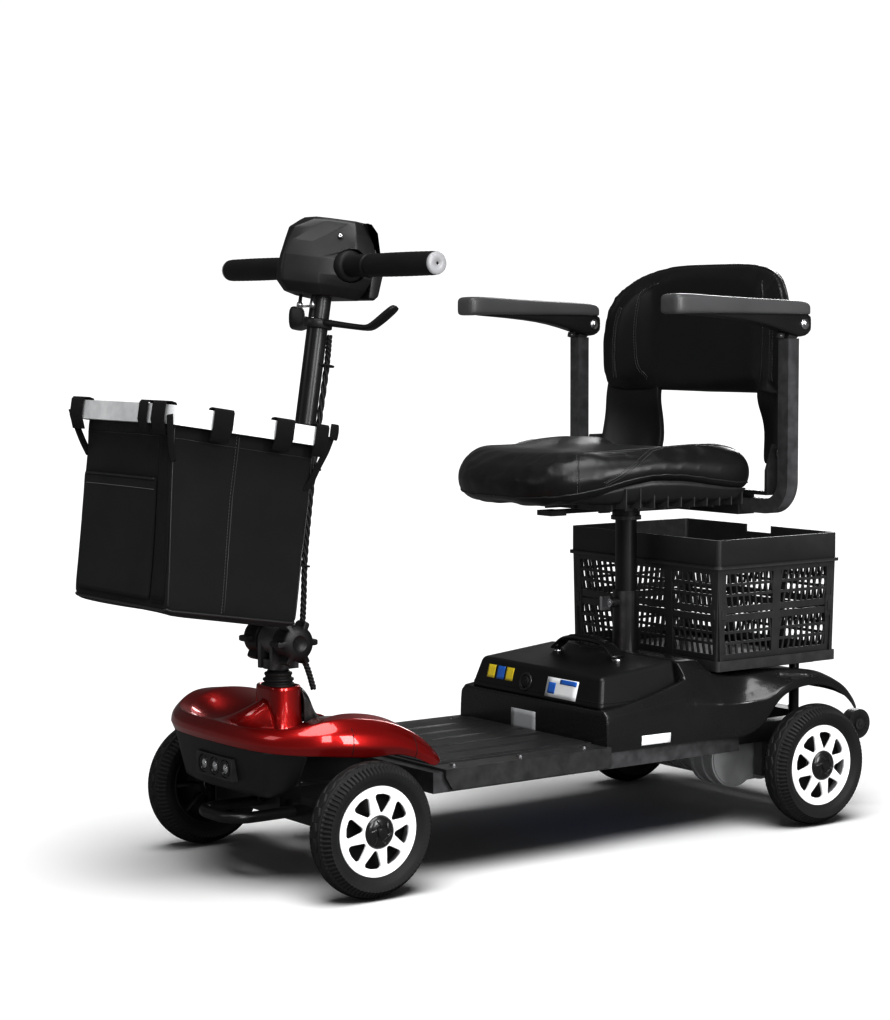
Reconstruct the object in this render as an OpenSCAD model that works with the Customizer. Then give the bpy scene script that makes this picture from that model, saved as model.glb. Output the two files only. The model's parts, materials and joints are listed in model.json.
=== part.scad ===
// Four-wheel travel mobility scooter: +X forward, +Y to the rider's left, +Z up, ground at Z = 0.
// Lengths are millimetres. Shapes are drawn from the middle of the wheelbase and moved once,
// by frame_shift, so that the origin lies under the middle of the whole object.

/* [Running gear] */
// Distance between the front and rear axles
wheelbase = 840; // [820:1:850]
// Distance between the middles of the left and right tyres
track = 448; // [444:1:456]
// Outside diameter of a tyre
wheel_d = 190; // [186:1:190]
// Width of a tyre
tyre_w = 50; // [44:1:50]
// Outside diameter of a wheel rim
rim_d = 134; // [128:1:138]
// Number of spokes in a rim
spokes = 8; // [5:1:10]

/* [Deck and frame] */
// Width of the floor pan
floor_w = 380; // [374:1:384]
// Underside of the frame rails above the ground
rail_z = 122; // [120:1:124]
// Side of a square frame rail
rail = 30; // [26:1:30]

/* [Tiller] */
// Lean of the tiller back from the vertical, in degrees
tiller_lean = 9; // [6:1:12]
// Outside diameter of the tiller tube
tiller_d = 30; // [28:1:32]
// Tip-to-tip width of the handlebar with its grips
handlebar_w = 544; // [500:2:550]
// Outside diameter of a grip
grip_d = 32; // [28:1:34]

/* [Seat] */
// Outside diameter of the sliding seat post
post_d = 34; // [32:1:36]
// Width of the seat cushion
seat_w = 424; // [400:2:426]
// Length of the seat cushion
seat_l = 380; // [350:5:390]
// Distance between the middles of the armrests
arm_spacing = 504; // [500:2:520]
// Length of an armrest pad
arm_l = 276; // [240:2:290]

/* [Carriers] */
// Width of the rear crate
crate_w = 360; // [320:5:370]
// Length of the rear crate
crate_l = 256; // [230:2:260]
// Height of the rear crate
crate_h = 204; // [180:2:210]
// Width of the front basket at its rim
basket_w = 280; // [250:2:300]
// Height of the front basket
basket_h = 280; // [240:2:290]

/* [Hidden] */
$fn = 64;
hull_fn = 32;
run = 0.05;          // radial clearance of a part that turns in a bore
gap = 1;             // clearance between covers and the parts inside them
skin = 3;            // wall of a moulded cover

wheel_r = wheel_d / 2;
axle_z = wheel_r;
front_x = wheelbase / 2;
rear_x = -wheelbase / 2;
wheel_y = track / 2;
rail_top = rail_z + rail;
rail_y = 167;              // middle of a side rail
inner_rail_y = 127;        // middle of a rail between the rear wheels
deck_front = 268;
deck_rear = -36;
pan_t = 4;
mat_z = rail_top + pan_t;

hub_r = 22;
bore_r = 9;                // axle radius in the wheels
bead_r = rim_d / 2 - 5;    // where the tyre sits on its rim
bead_w = tyre_w / 2 - 9;
axle_tube_r = 18;
motor_r = 35;
motor_x = rear_x + 57;
kingpin_y = wheel_y - 59;
kingpin_r = 8;
arm_back = 60;             // length of the steering arms
steer_x = front_x + 8;
shaft_r = 14;
beam_z = [80, 108];         // underside and top of the front axle beam
tie_z = [128, 136];
head_z = [150, 210];       // ends of the head tube
hinge_z = 334;
hinge = [steer_x, 0, hinge_z];
bolt_r = 6;

bar_w = 541;               // height of the handlebar up the tiller, from the tiller's hinge
bar_u = -4;
head_w = 134;
dash_top = [-14, 606];     // upper and lower edges of the dash's sloping face
dash_low = [-66, 548];
dial_at = [30, 10];        // controls on the dash: to the left, and up the face
key_at = [-34, 8];
horn_at = [0, -22];
rim_w = 304;               // top of the basket rim up the tiller
rim_u = [46, 300];         // how far the rim reaches ahead of the tiller
rim_h = 26;
rim_t = 12;

post_x = -223;
post_r = post_d / 2;
sleeve_r = post_r + 4;
sleeve_top = 363;
lock_z = sleeve_top - 18;
seat_z = 490;              // underside of the seat plate
pan_z = 522;               // underside of the seat cushion
seat_front = 60;
recline = [-347, 0, 586];  // backrest pivot
arm_x = -332;              // middle of an armrest post
arm_pivot = [-352, 0, 784];
tube = 22;                 // side of the armrest tube
arm_y = arm_spacing / 2;
plate_y = [218, 223];      // inner and outer face of the plates that carry the backrest
lever_y = [-42, -22];      // sides of the swivel lever

crate_x = -256;            // front face of the crate
crate_z = 248;
battery_x = [-196, -40];
anti_tip = [-586, 150, 133];
anti_tip_r = 24;

// Moves the middle of the wheelbase so that the origin lies under the middle of the object.
front_end = steer_x + rim_u[1] * cos(tiller_lean) - (rim_w - rim_h) * sin(tiller_lean);
rear_end = anti_tip[0] - anti_tip_r;
frame_shift = -(front_end + rear_end) / 2;

red = [0.62, 0.05, 0.05];
black = [0.07, 0.07, 0.08];
charcoal = [0.16, 0.16, 0.17];
silver = [0.75, 0.76, 0.78];
white = [0.93, 0.93, 0.94];

// ---- helpers -------------------------------------------------------------------------------

// Puts a shape drawn from the middle of the wheelbase into the object's frame.
module place() translate([frame_shift, 0, 0]) children();

// A copy on each side of the middle plane.
module both_sides() {
    children();
    mirror([0, 1, 0]) children();
}

// A cylinder along Y, from y0 to y1, round the line x, z.
module y_rod(r, x, z, y0, y1) translate([x, y1, z]) rotate([90, 0, 0]) cylinder(r = r, h = y1 - y0);

// A cylinder along Z, from z0 to z1.
module z_rod(r, x, y, z0, z1) translate([x, y, z0]) cylinder(r = r, h = z1 - z0);

// A cylinder along X, from x0 to x1, round the line y, z.
module x_rod(r, y, z, x0, x1) translate([x0, y, z]) rotate([0, 90, 0]) cylinder(r = r, h = x1 - x0);

// A box from its lowest to its highest corner.
module box(a, b) translate(a) cube(b - a);

// A side outline in X and Z, drawn out along Y from y0 to y1.
module side_slab(outline, y0, y1) translate([0, y1, 0]) rotate([90, 0, 0])
    linear_extrude(y1 - y0) polygon(outline);

// The tiller's own frame: X ahead of it, Z up along it, from the folding hinge.
module on_tiller() translate(hinge) rotate([0, -tiller_lean, 0]) children();

// Points on an arc, as [x, z].
function arc(cx, cz, r, a0, a1, n) = [for (i = [0:n]) let (a = a0 + (a1 - a0) * i / n)
    [cx + r * cos(a), cz + r * sin(a)]];

// A plan rectangle with round corners.
module round_rect(l, w, r) translate([-l / 2 + r, -w / 2 + r]) union() {
    translate([0, -r]) square([l - 2 * r, w]);
    translate([-r, 0]) square([l, w - 2 * r]);
    for (x = [0, l - 2 * r], y = [0, w - 2 * r]) translate([x, y]) circle(r);
}

// ---- frame ---------------------------------------------------------------------------------

module main_frame() color(black) difference() {
    union() {
        both_sides() {
            box([deck_rear - 2, rail_y - rail / 2, rail_z], [285, rail_y + rail / 2, rail_top]);
            // inner rails, which carry the axle beam below the deck's height
            box([255, 40, beam_z[0]], [front_x, 66, beam_z[1]]);
            box([255, 40, beam_z[0]], [275, 66, rail_top]);
            z_rod(15, front_x, kingpin_y, beam_z[0] - 8, beam_z[1] + 8);
            // uprights that carry the head tube over the tie rod
            box([front_x - 10, 22, beam_z[1] - 10], [front_x + 26, 30, head_z[0] + 10]);
        }
        for (x = [deck_rear - 2, 255])
            box([x, -rail_y, rail_z], [x + rail, rail_y, rail_top]);
        box([front_x - 15, -kingpin_y, beam_z[0]], [front_x + 15, kingpin_y, beam_z[1]]);
        box([front_x - 22, -30, head_z[0]], [front_x + 38, 30, head_z[0] + 10]);
        z_rod(24, steer_x, 0, head_z[0], head_z[1]);
    }
    both_sides() z_rod(kingpin_r + run, front_x, kingpin_y, beam_z[0] - 9, beam_z[1] + 9);
    z_rod(19, steer_x, 0, head_z[0] - 1, head_z[1] + 1);
}

module steering_bearings() color(silver) for (z = [head_z[0], head_z[1] - 14]) difference() {
    z_rod(19, steer_x, 0, z, z + 14);
    z_rod(shaft_r + run, steer_x, 0, z - 1, z + 15);
}

module rear_frame() color(black) difference() {
    union() {
        both_sides() {
            box([-300, rail_y - rail / 2, rail_z], [deck_rear - 2, rail_y + rail / 2, rail_top]);
            box([-545, inner_rail_y - rail / 2, rail_z], [-270, inner_rail_y + rail / 2, rail_top]);
            // hangers that carry the axle tube of the transaxle
            box([rear_x - 28, 118, axle_z - 30], [rear_x + 28, 136, rail_z + 1]);
            // anti-tip arm
            box([anti_tip[0] - 10, anti_tip[1] - 20, anti_tip[2] - 12],
                [-530, anti_tip[1] - 14, anti_tip[2] + 12]);
            z_rod(3, -528, anti_tip[1] - 17, anti_tip[2] - 8, anti_tip[2] + 8);
            y_rod(5, anti_tip[0], anti_tip[2], anti_tip[1] - 15, anti_tip[1] + 13);
        }
        for (x = [-300, post_x - 15, -545])
            box([x, -rail_y, rail_z], [x + rail, rail_y, rail_top]);
        box([-545, -anti_tip[1] + 14, anti_tip[2] - 11], [-515, anti_tip[1] - 14, anti_tip[2] + 11]);
        z_rod(sleeve_r, post_x, 0, rail_z - 12, sleeve_top);
        // boss for the lock bolt
        x_rod(8, 0, lock_z, post_x + post_r + 2, post_x + sleeve_r + 10);
    }
    both_sides() y_rod(axle_tube_r + run, rear_x, axle_z, 110, 140);
    z_rod(post_r + run, post_x, 0, rail_z - 13, sleeve_top + 1);
    x_rod(4 + run, 0, lock_z, post_x + post_r - 2, post_x + sleeve_r + 11);
}

module floor_pan() color(charcoal) difference() {
    union() {
        box([deck_rear, -floor_w / 2, rail_top], [deck_front, floor_w / 2, mat_z]);
        both_sides() box([deck_rear, floor_w / 2 - 5, rail_z + 4], [deck_front, floor_w / 2, mat_z]);
    }
    // the skirt's lower front corner is cut away
    rotate([90, 0, 0]) linear_extrude(floor_w + 2, center = true)
        polygon([[deck_front - 14, rail_z], [deck_front + 1, rail_z], [deck_front + 1, rail_z + 24]]);
}

module floor_mat() color(charcoal) union() {
    box([deck_rear + 6, -150, mat_z], [deck_front - 6, 150, mat_z + 3]);
    for (y = [-120, -40, 40, 120])
        box([deck_rear + 14, y - 14, mat_z + 2], [deck_front - 14, y + 14, mat_z + 5]);
}

// ---- front body ----------------------------------------------------------------------------

arch_top = 234;
skirt_z = wheel_d + 6;
arch_x = [front_x - 118, front_x + 92];
arch_y = [118, 203];
nose_z = [skirt_z + 2, 226];
collar_top = 271;
collar_l = 28;             // half length and half width of the collar
collar_w = 36;

// Height of the wheel arch at t, from 0 at its front to 1 at its tail.
function arch_height(t) = skirt_z + 6 + (arch_top - skirt_z - 4) * sin(180 * pow(t, 0.9)) - 16 * t * t;

// Side outline of the wheel arch: a long bulge that drops to a point behind the wheel.
module arch_outline(inset) polygon(concat(
    [for (i = [0:10]) [arch_x[1] - inset - (arch_x[1] - arch_x[0] - 2 * inset) * i / 10,
        arch_height(i / 10) - inset]],
    [[arch_x[0] + inset, skirt_z - 18 - 2 * inset], [arch_x[0] + 34, skirt_z - 2 * inset],
        [arch_x[1] - inset, skirt_z - 2 * inset]]));

module arch() difference() {
    translate([0, arch_y[1], 0]) rotate([90, 0, 0]) linear_extrude(arch_y[1] - arch_y[0]) arch_outline(0);
    translate([0, arch_y[1] - skin, 0]) rotate([90, 0, 0])
        linear_extrude(arch_y[1] - arch_y[0] - 2 * skin) arch_outline(skin);
}

// Plan of the nose, with its bowed front.
module nose_plan(inset) polygon([[front_x + 10 + inset, inset - 117], [front_x + 76, inset - 150],
    [front_x + 106 - inset, inset - 150], [front_x + 118 - inset, inset - 90], [front_x + 124 - inset, 0],
    [front_x + 118 - inset, 90 - inset], [front_x + 106 - inset, 150 - inset], [front_x + 76, 150 - inset],
    [front_x + 10 + inset, 117 - inset]]);

module front_shroud() color(red) difference() {
    union() {
        both_sides() arch();
        translate([0, 0, nose_z[0]]) linear_extrude(nose_z[1] - nose_z[0]) nose_plan(0);
        box([front_x - 100, -119, skirt_z + 2], [front_x + 20, 119, skirt_z + 20]);
        // collar round the steering column
        box([steer_x - collar_l, -collar_w, skirt_z + 2], [steer_x + collar_l, collar_w, collar_top]);
    }
    // hollow underneath, then the two bowls behind the nose ridge
    translate([0, 0, nose_z[0] - 1]) linear_extrude(13) nose_plan(skin);
    box([front_x - 97, -115, skirt_z + 1], [front_x + 14, 115, skirt_z + 16]);
    both_sides() translate([0, 0, nose_z[1] - 10]) linear_extrude(11) intersection() {
        nose_plan(14);
        translate([steer_x + 36, 12]) square([80, 140]);
    }
    box([steer_x - collar_l - 1, skin - collar_w, skirt_z + 1],
        [steer_x + collar_l - skin, collar_w - skin, collar_top + 1]);
}

module column_cover() color(black) difference() {
    union() {
        box([steer_x - collar_l - 26, -collar_w, skirt_z + 21],
            [steer_x - collar_l - 1, collar_w, collar_top - 3]);
        box([front_x - 112, -58, skirt_z + 21], [steer_x - collar_l - 1, 58, skirt_z + 24]);
    }
    box([steer_x - collar_l - 23, skin - collar_w, skirt_z + 20],
        [steer_x - collar_l, collar_w - skin, collar_top - 6]);
}

// Plan slab used for the valance: front width w at distance x, reaching back to back_x.
module valance_slab(x, back_x, w, z) box([back_x, -w / 2, z], [x, w / 2, z + 1]);

module front_valance() color(black) difference() {
    hull() {
        valance_slab(front_x + 112, front_x + 60, 300, skirt_z - 1);
        valance_slab(front_x + 104, front_x + 64, 236, 140);
    }
    hull() {
        valance_slab(front_x + 108, front_x + 50, 292, skirt_z + 1);
        valance_slab(front_x + 100, front_x + 50, 228, 138);
    }
    box([front_x + 90, -50, 146], [front_x + 120, 50, 180]);
}

module headlight_housing() color(black) difference() {
    box([front_x + 100, -49, 147], [front_x + 116, 49, 179]);
    for (y = [-30, 0, 30]) translate([front_x + 106, y, 163]) rotate([0, 90, 0]) cylinder(r = 13, h = 12);
}

module headlight_lenses() color(white) for (y = [-30, 0, 30])
    translate([front_x + 106, y, 163]) rotate([0, 90, 0]) cylinder(r = 12.9, h = 8);

// A tube that leaves the axle beam, runs forward and closes in two round bends.
hoop_y = 50;
hoop_bend = 34;
hoop_r = 8;
hoop_front = front_x + 118;

module front_bumper_hoop() color(black) translate([0, 0, (beam_z[0] + beam_z[1]) / 2]) union() {
    both_sides() {
        translate([front_x + 15, hoop_y, 0]) rotate([0, 90, 0])
            cylinder(r = hoop_r, h = hoop_front - hoop_bend - front_x - 15);
        translate([hoop_front - hoop_bend, hoop_y - hoop_bend, 0]) rotate_extrude(angle = 90)
            translate([hoop_bend, 0]) circle(hoop_r);
    }
    y_rod(hoop_r, hoop_front, 0, hoop_bend - hoop_y, hoop_y - hoop_bend);
}

// ---- rear body -----------------------------------------------------------------------------

shroud_y = 186;
fender_r = 130;

module rear_outline(inset) polygon(concat(
    [[deck_rear - 4 - inset, rail_top + 1], [deck_rear - 4 - inset, 206 - inset]],
    [[battery_x[0] - 3, 206 - inset], [battery_x[0] - 3, 262 - inset], [post_x - 20, 264 - inset]],
    [[-252, 240 - inset], [-420, 238 - inset], [-500, 214 - inset], [-512 + inset, 176]],
    [[-512 + inset, rail_top + 1]]));

module fender() difference() {
    intersection() {
        y_rod(fender_r, rear_x, axle_z, 0, 238);
        side_slab([[rear_x - 140, 172], [rear_x - 60, 176], [rear_x + 128, 156],
            [rear_x + 150, 250], [rear_x - 140, 250]], shroud_y - 1, 236);
    }
    y_rod(fender_r - skin, rear_x, axle_z, 150, 239);
}

module rear_shroud() color(charcoal) difference() {
    union() {
        difference() {
            translate([0, shroud_y, 0]) rotate([90, 0, 0]) linear_extrude(2 * shroud_y) rear_outline(0);
            translate([0, shroud_y - skin, 0]) rotate([90, 0, 0])
                linear_extrude(2 * (shroud_y - skin)) rear_outline(skin);
            box([-520, -190, rail_top - 1], [deck_rear, 190, rail_top + 0.5]);
            box([-505, -shroud_y + skin, rail_top], [deck_rear - 7, shroud_y - skin, rail_top + 2]);
        }
        both_sides() fender();
    }
    // round the seat sleeve, the crate legs and the battery well
    z_rod(sleeve_r + gap, post_x, 0, 160, 300);
    both_sides() for (x = [-300, -470]) z_rod(9, x, inner_rail_y, 160, 300);
    box([battery_x[0] + 4, -122, 200], [battery_x[1] - 22, 122, 210]);
    both_sides() y_rod(fender_r - skin, rear_x, axle_z, shroud_y - skin, 240);
}

module transaxle() color(silver) difference() {
    union() {
        y_rod(axle_tube_r, rear_x, axle_z, -172, 172);
        y_rod(42, rear_x, axle_z, 50, 106);
        y_rod(46, motor_x, axle_z, 50, 106);
        box([rear_x, 50, axle_z - 40], [motor_x, 106, axle_z + 22]);
        for (y = [50, 74, 98]) y_rod(49, motor_x, axle_z, y, y + 6);
    }
    box([rear_x - 60, 40, rail_z + 18], [rear_x + 110, 116, 190]);
    both_sides() y_rod(10, rear_x, axle_z, 112, 180);
}

module drive_motor() color(charcoal) union() {
    y_rod(motor_r, motor_x, axle_z, -78, 50);
    for (i = [0:5]) y_rod(motor_r + 2, motor_x, axle_z, -70 + i * 16, -62 + i * 16);
}

module crate_carrier() color(black) union() {
    both_sides() for (x = [-300, -470]) z_rod(8, x, inner_rail_y, rail_top, crate_z - 5);
    box([-490, -150, crate_z - 6], [-280, 150, crate_z]);
}

// ---- rear crate ----------------------------------------------------------------------------

wall = 3;
lip_h = 45;
floor_t = 4;
crate_mid = crate_x - crate_l / 2;
panel_h = crate_h - lip_h - 16;
slot_pitch = 16;

module crate_base() color(black) translate([crate_mid, 0, crate_z]) difference() {
    linear_extrude(16) round_rect(crate_l - 2, crate_w - 2, 6);
    translate([0, 0, floor_t]) linear_extrude(16) round_rect(crate_l - 8, crate_w - 8, 4);
}

module crate_rim() color(charcoal) translate([crate_mid, 0, crate_z + crate_h - lip_h]) difference() {
    union() {
        linear_extrude(lip_h) round_rect(crate_l, crate_w, 8);
        linear_extrude(5) round_rect(crate_l + 8, crate_w + 8, 10);
    }
    translate([0, 0, -1]) linear_extrude(lip_h + 2) round_rect(crate_l - 7, crate_w - 7, 5);
    // hand notch in the back
    box([-crate_l / 2 - 8, -30, lip_h - 12], [-crate_l / 2 + 8, 30, lip_h + 1]);
}

// Slanted slots in rows, in a panel of length l and height h.
module slots(l, h, columns, rows) {
    bay = l / columns;
    row_h = h / rows;
    n = floor((bay - 20) / slot_pitch);
    for (c = [0:columns - 1], r = [0:rows - 1], i = [0:n - 1]) {
        x = (c - columns / 2) * bay + 14 + i * slot_pitch;
        z = r * row_h + 6;
        lean = (c % 2 == 0 ? 1 : -1) * 5;
        polygon([[x, z], [x + 9, z], [x + 9 + lean, z + row_h - 12], [x + lean, z + row_h - 12]]);
    }
}

module crate_wall(l, columns, rows) rotate([90, 0, 0]) linear_extrude(wall, center = true) difference() {
    translate([-l / 2, 0]) square([l, panel_h]);
    slots(l, panel_h, columns, rows);
}

module crate_panels() color(black) translate([crate_mid, 0, crate_z + 16]) {
    both_sides() translate([0, crate_w / 2 - 5, 0]) crate_wall(crate_l - 18, 2, 2);
    for (s = [-1, 1]) translate([s * (crate_l / 2 - 5), 0, 0]) rotate([0, 0, 90])
        crate_wall(crate_w - 6, 3, 2);
}

// ---- battery -------------------------------------------------------------------------------

battery_y = 160;

module battery_case() color(charcoal) difference() {
    union() {
        side_slab(concat([[battery_x[1], 207], [battery_x[1] - 8, 248]],
            arc(battery_x[1] - 20, 244, 12, 70, 110, 3),
            [[battery_x[0] + 40, 270], [battery_x[0], 274], [battery_x[0], 207]]), -battery_y, battery_y);
        box([battery_x[0] + 6, -120, 162], [battery_x[1] - 24, 120, 208]);
    }
    box([battery_x[0] + 9, -117, 165], [battery_x[1] - 27, 117, 240]);
    // recess for the charging port
    box([battery_x[1] - 12, -42, 212], [battery_x[1] + 1, -12, 246]);
}

module battery_cells() color("royalblue") for (i = [-1, 1])
    box([battery_x[0] + 12, i * 58 - 55, 166], [battery_x[1] - 30, i * 58 + 55, 236]);

module battery_handle() color(black) difference() {
    side_slab([[-158, 240], [-128, 240], [-128, 292], [-158, 292]], -76, 76);
    // the underside follows the battery's top, and the grip stands clear of it
    side_slab([[-170, 230], [-120, 230], [-120, 267.2], [-156, 270.2], [-170, 272]], -80, 80);
    box([-170, -52, 260], [-120, 52, 284]);
}

module charge_port() color(black) difference() {
    union() {
        box([battery_x[1] - 11.9, -41.9, 212.1], [battery_x[1] - 8, -12.1, 245.9]);
        translate([battery_x[1] - 9, -27, 220]) rotate([0, 90, 0]) cylinder(r = 5, h = 7);
    }
    translate([battery_x[1] - 10, -27, 236]) rotate([0, 90, 0]) cylinder(r = 6, h = 5);
}

// ---- steering ------------------------------------------------------------------------------

cheek = [11.95, 20];       // inner and outer face of the hinge cheeks

module steering_shaft() color(black) difference() {
    union() {
        z_rod(shaft_r, steer_x, 0, tie_z[1] + 1, hinge_z - 26);
        // collar that rests on the upper bearing
        z_rod(20, steer_x, 0, head_z[1] + 0.2, head_z[1] + 16);
        // pitman arm and its downward pin
        box([steer_x - arm_back, -7, tie_z[1] + 1], [steer_x, 7, tie_z[1] + 8]);
        z_rod(9, steer_x - arm_back, 0, tie_z[1] + 1, tie_z[1] + 8);
        z_rod(5, steer_x - arm_back, 0, tie_z[0] - 2, tie_z[1] + 2);
        // fork of the folding hinge
        z_rod(22, steer_x, 0, hinge_z - 40, hinge_z - 26);
        both_sides() {
            y_rod(22, steer_x, hinge_z, cheek[0], cheek[1]);
            box([steer_x - 22, cheek[0], hinge_z - 40], [steer_x + 22, cheek[1], hinge_z]);
        }
    }
    y_rod(bolt_r + run, steer_x, hinge_z, -30, 30);
}

module tie_rod() color(silver) difference() {
    union() {
        box([front_x - arm_back - 6, -kingpin_y, tie_z[0]], [front_x - arm_back + 6, kingpin_y, tie_z[1]]);
        both_sides() z_rod(10, front_x - arm_back, kingpin_y, tie_z[0], tie_z[1]);
        z_rod(12, steer_x - arm_back, 0, tie_z[0], tie_z[1]);
    }
    both_sides() z_rod(5 + run, front_x - arm_back, kingpin_y, tie_z[0] - 1, tie_z[1] + 1);
    z_rod(5 + run, steer_x - arm_back, 0, tie_z[0] - 1, tie_z[1] + 1);
}

// Kingpin, bracket, stub axle and steering arm of the left front wheel.
knuckle_z = [beam_z[0] - 16, beam_z[1] + 16];
web_y = kingpin_y + 18;

module knuckle() color(black) union() {
    z_rod(kingpin_r, front_x, kingpin_y, knuckle_z[0], knuckle_z[1]);
    for (z = [knuckle_z[0], knuckle_z[1] - 7.8]) {
        z_rod(15, front_x, kingpin_y, z, z + 7.8);
        box([front_x - 15, kingpin_y, z], [front_x + 15, web_y + 6, z + 7.8]);
    }
    box([front_x - 15, web_y, knuckle_z[0]], [front_x + 15, web_y + 6, knuckle_z[1]]);
    y_rod(13, front_x, axle_z, web_y, wheel_y - 20);
    y_rod(bore_r, front_x, axle_z, web_y, wheel_y + 22);
    box([front_x - arm_back, kingpin_y - 7, knuckle_z[1] - 7.8], [front_x, kingpin_y + 7, knuckle_z[1]]);
    z_rod(9, front_x - arm_back, kingpin_y, knuckle_z[1] - 7.8, knuckle_z[1]);
    z_rod(5, front_x - arm_back, kingpin_y, knuckle_z[1] - 1, tie_z[1] + 0.5);
}

module knuckle_left() knuckle();
module knuckle_right() mirror([0, 1, 0]) knuckle();

// ---- tiller --------------------------------------------------------------------------------

module tiller_tube() color(black) on_tiller() difference() {
    union() {
        translate([0, 0, 30]) cylinder(d = tiller_d, h = 470);
        translate([0, 0, 26]) cylinder(r = 19, h = 34);
        y_rod(22, 0, 0, -11.9, 11.9);
        box([-16, -11.9, 0], [16, 11.9, 40]);
        // bracket that carries the basket
        for (w = [96, rim_w - rim_h - 22]) {
            translate([0, 0, w]) cylinder(r = 20, h = 22);
            box([10, -14, w], [rim_u[0] + 10, 14, w + 22]);
        }
    }
    y_rod(bolt_r + run, 0, 0, -15, 15);
    translate([0, 0, 70]) cylinder(d = tiller_d - 5, h = 440);
}

module star_knob() {
    y_rod(26, hinge[0], hinge[2], 24, 58);
    for (a = [0:60:300]) translate(hinge) rotate([0, a, 0]) y_rod(7, 27, 0, 30, 54);
}

module tiller_knobs() color(black) union() {
    y_rod(bolt_r, hinge[0], hinge[2], -50, 50);
    both_sides() star_knob();
}

// Side outline of the control head's front half, in the tiller's frame, from its parting line.
head_front = [[bar_u, 608], [bar_u, 496], [62, 496], [76, 510], [74, 550], [56, 588], [30, 608]];

// The head narrows to a prow in plan, and its side faces lean in at top and bottom.
module head_form(outline, inset) intersection() {
    side_slab(outline, -head_w / 2 + inset, head_w / 2 - inset);
    linear_extrude(2 * bar_w) polygon([
        [-80, head_w / 2 - inset], [-8, head_w / 2 - inset], [36, 41 - inset], [78 - inset, 9 - inset / 2],
        [78 - inset, inset / 2 - 9], [36, inset - 41], [-8, inset - head_w / 2], [-80, inset - head_w / 2]]);
    rotate([90, 0, 90]) translate([0, 0, -100]) linear_extrude(200) polygon([
        [46 - inset, 490], [head_w / 2, 524], [head_w / 2, 586], [50 - inset, 612],
        [inset - 50, 612], [-head_w / 2, 586], [-head_w / 2, 524], [inset - 46, 490]]);
}

module head_shell() color(black) on_tiller() difference() {
    head_form(head_front, 0);
    head_form([for (p = head_front) [(p[0] - 20) * 0.93 + 20, (p[1] - 552) * 0.94 + 552]], skin);
    box([bar_u - 1, -head_w / 2 + skin, 524], [bar_u + 8, head_w / 2 - skin, 586]);
    box([bar_u - 1, -40, 500], [bar_u + 8, 40, 604]);
    translate([0, 0, 480]) cylinder(d = tiller_d + 1, h = 25);
    y_rod(grip_d / 2 + 1, bar_u, bar_w, -head_w, head_w);
}

dash_rear = [[-60, 502], [-40, 496]];

// A place on the sloping face of the dash, [side, up the face]: Z stands out of the face.
dash_mid = (dash_top + dash_low) / 2;
dash_tilt = atan2(dash_top[1] - dash_low[1], dash_top[0] - dash_low[0]);

module on_dash(place) translate([dash_mid[0], place[0], dash_mid[1]])
    rotate([0, -dash_tilt, 0]) translate([place[1], 0, 0]) children();

module head_dash() color(charcoal) on_tiller() difference() {
    head_form(concat([[bar_u, 496], [bar_u, 606], dash_top, dash_low], dash_rear), 1);
    head_form([for (p = concat([[bar_u + 4, 497], [bar_u + 4, 604], dash_top, dash_low], dash_rear))
        [(p[0] + 30) * 0.9 - 30, (p[1] - 550) * 0.93 + 550]], 1 + skin);
    translate([0, 0, 480]) cylinder(d = tiller_d + 1, h = 25);
    y_rod(grip_d / 2 + 1, bar_u, bar_w, -head_w, head_w);
    for (place = [dial_at, key_at, horn_at]) on_dash(place) cylinder(r = 7, h = 20, center = true);
}

module handlebar() color(black) on_tiller() union() {
    y_rod(11, bar_u, bar_w, -handlebar_w / 2 + 8, handlebar_w / 2 - 8);
    box([bar_u - 9, -12, bar_w - 40], [bar_u + 9, 12, bar_w]);
    translate([0, 0, 500.2]) cylinder(d = tiller_d, h = 14);
    box([bar_u, -12, 501], [8, 12, 514]);
}

module grips() color(charcoal) on_tiller() both_sides() difference() {
    union() {
        y_rod(grip_d / 2, bar_u, bar_w, 56, handlebar_w / 2);
        y_rod(grip_d / 2 + 1.5, bar_u, bar_w, 106, 112);
    }
    y_rod(11, bar_u, bar_w, 50, handlebar_w / 2 - 8);
}

// A paddle lever that swings about the tiller tube, below the control head.
lever_w = 452;

module throttle_lever() color(black) on_tiller() difference() {
    union() {
        translate([0, 0, lever_w]) cylinder(r = 21, h = 12);
        both_sides() {
            translate([-14, 0, lever_w + 1]) rotate([0, 0, 14]) rotate([-8, 0, 0])
                translate([-7, 10, 0]) cube([14, 84, 7]);
            translate([-36, 92, lever_w - 11]) rotate([0, 0, 14]) rotate([26, 0, 0])
                translate([-8, -4, 0]) cube([16, 36, 7]);
        }
    }
    translate([0, 0, lever_w - 1]) cylinder(d = tiller_d + 2 * run, h = 14);
}

module speed_dial() color(black) on_tiller() on_dash(dial_at) union() {
    translate([0, 0, 1]) cylinder(r = 15, h = 11);
    for (a = [0:30:330]) rotate([0, 0, a]) translate([15, 0, 1]) cylinder(r = 1.8, h = 11, $fn = 16);
    translate([0, 0, -4]) cylinder(r = 7 - run, h = 6);
}

module power_key() color(silver) on_tiller() on_dash(key_at) union() {
    translate([0, 0, -4]) cylinder(r = 7 - run, h = 6);
    translate([0, 0, 1]) cylinder(r = 9, h = 4);
    translate([-9, -1.5, 4]) cube([18, 3, 18]);
}

module horn_button() color("gold") on_tiller() on_dash(horn_at) translate([0, 0, -4])
    cylinder(r = 7 - run, h = 9);

module tiller_cable() color(black) on_tiller() union() {
    translate([-26, 0, 44]) cylinder(r = 4, h = 396);
    translate([-26, 0, 44]) sphere(4);
}

// ---- front basket --------------------------------------------------------------------------

module basket_plan(grow) translate([(rim_u[0] + rim_u[1]) / 2, 0])
    round_rect(rim_u[1] - rim_u[0] + 2 * grow, basket_w + 2 * grow, 24 + grow);

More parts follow.
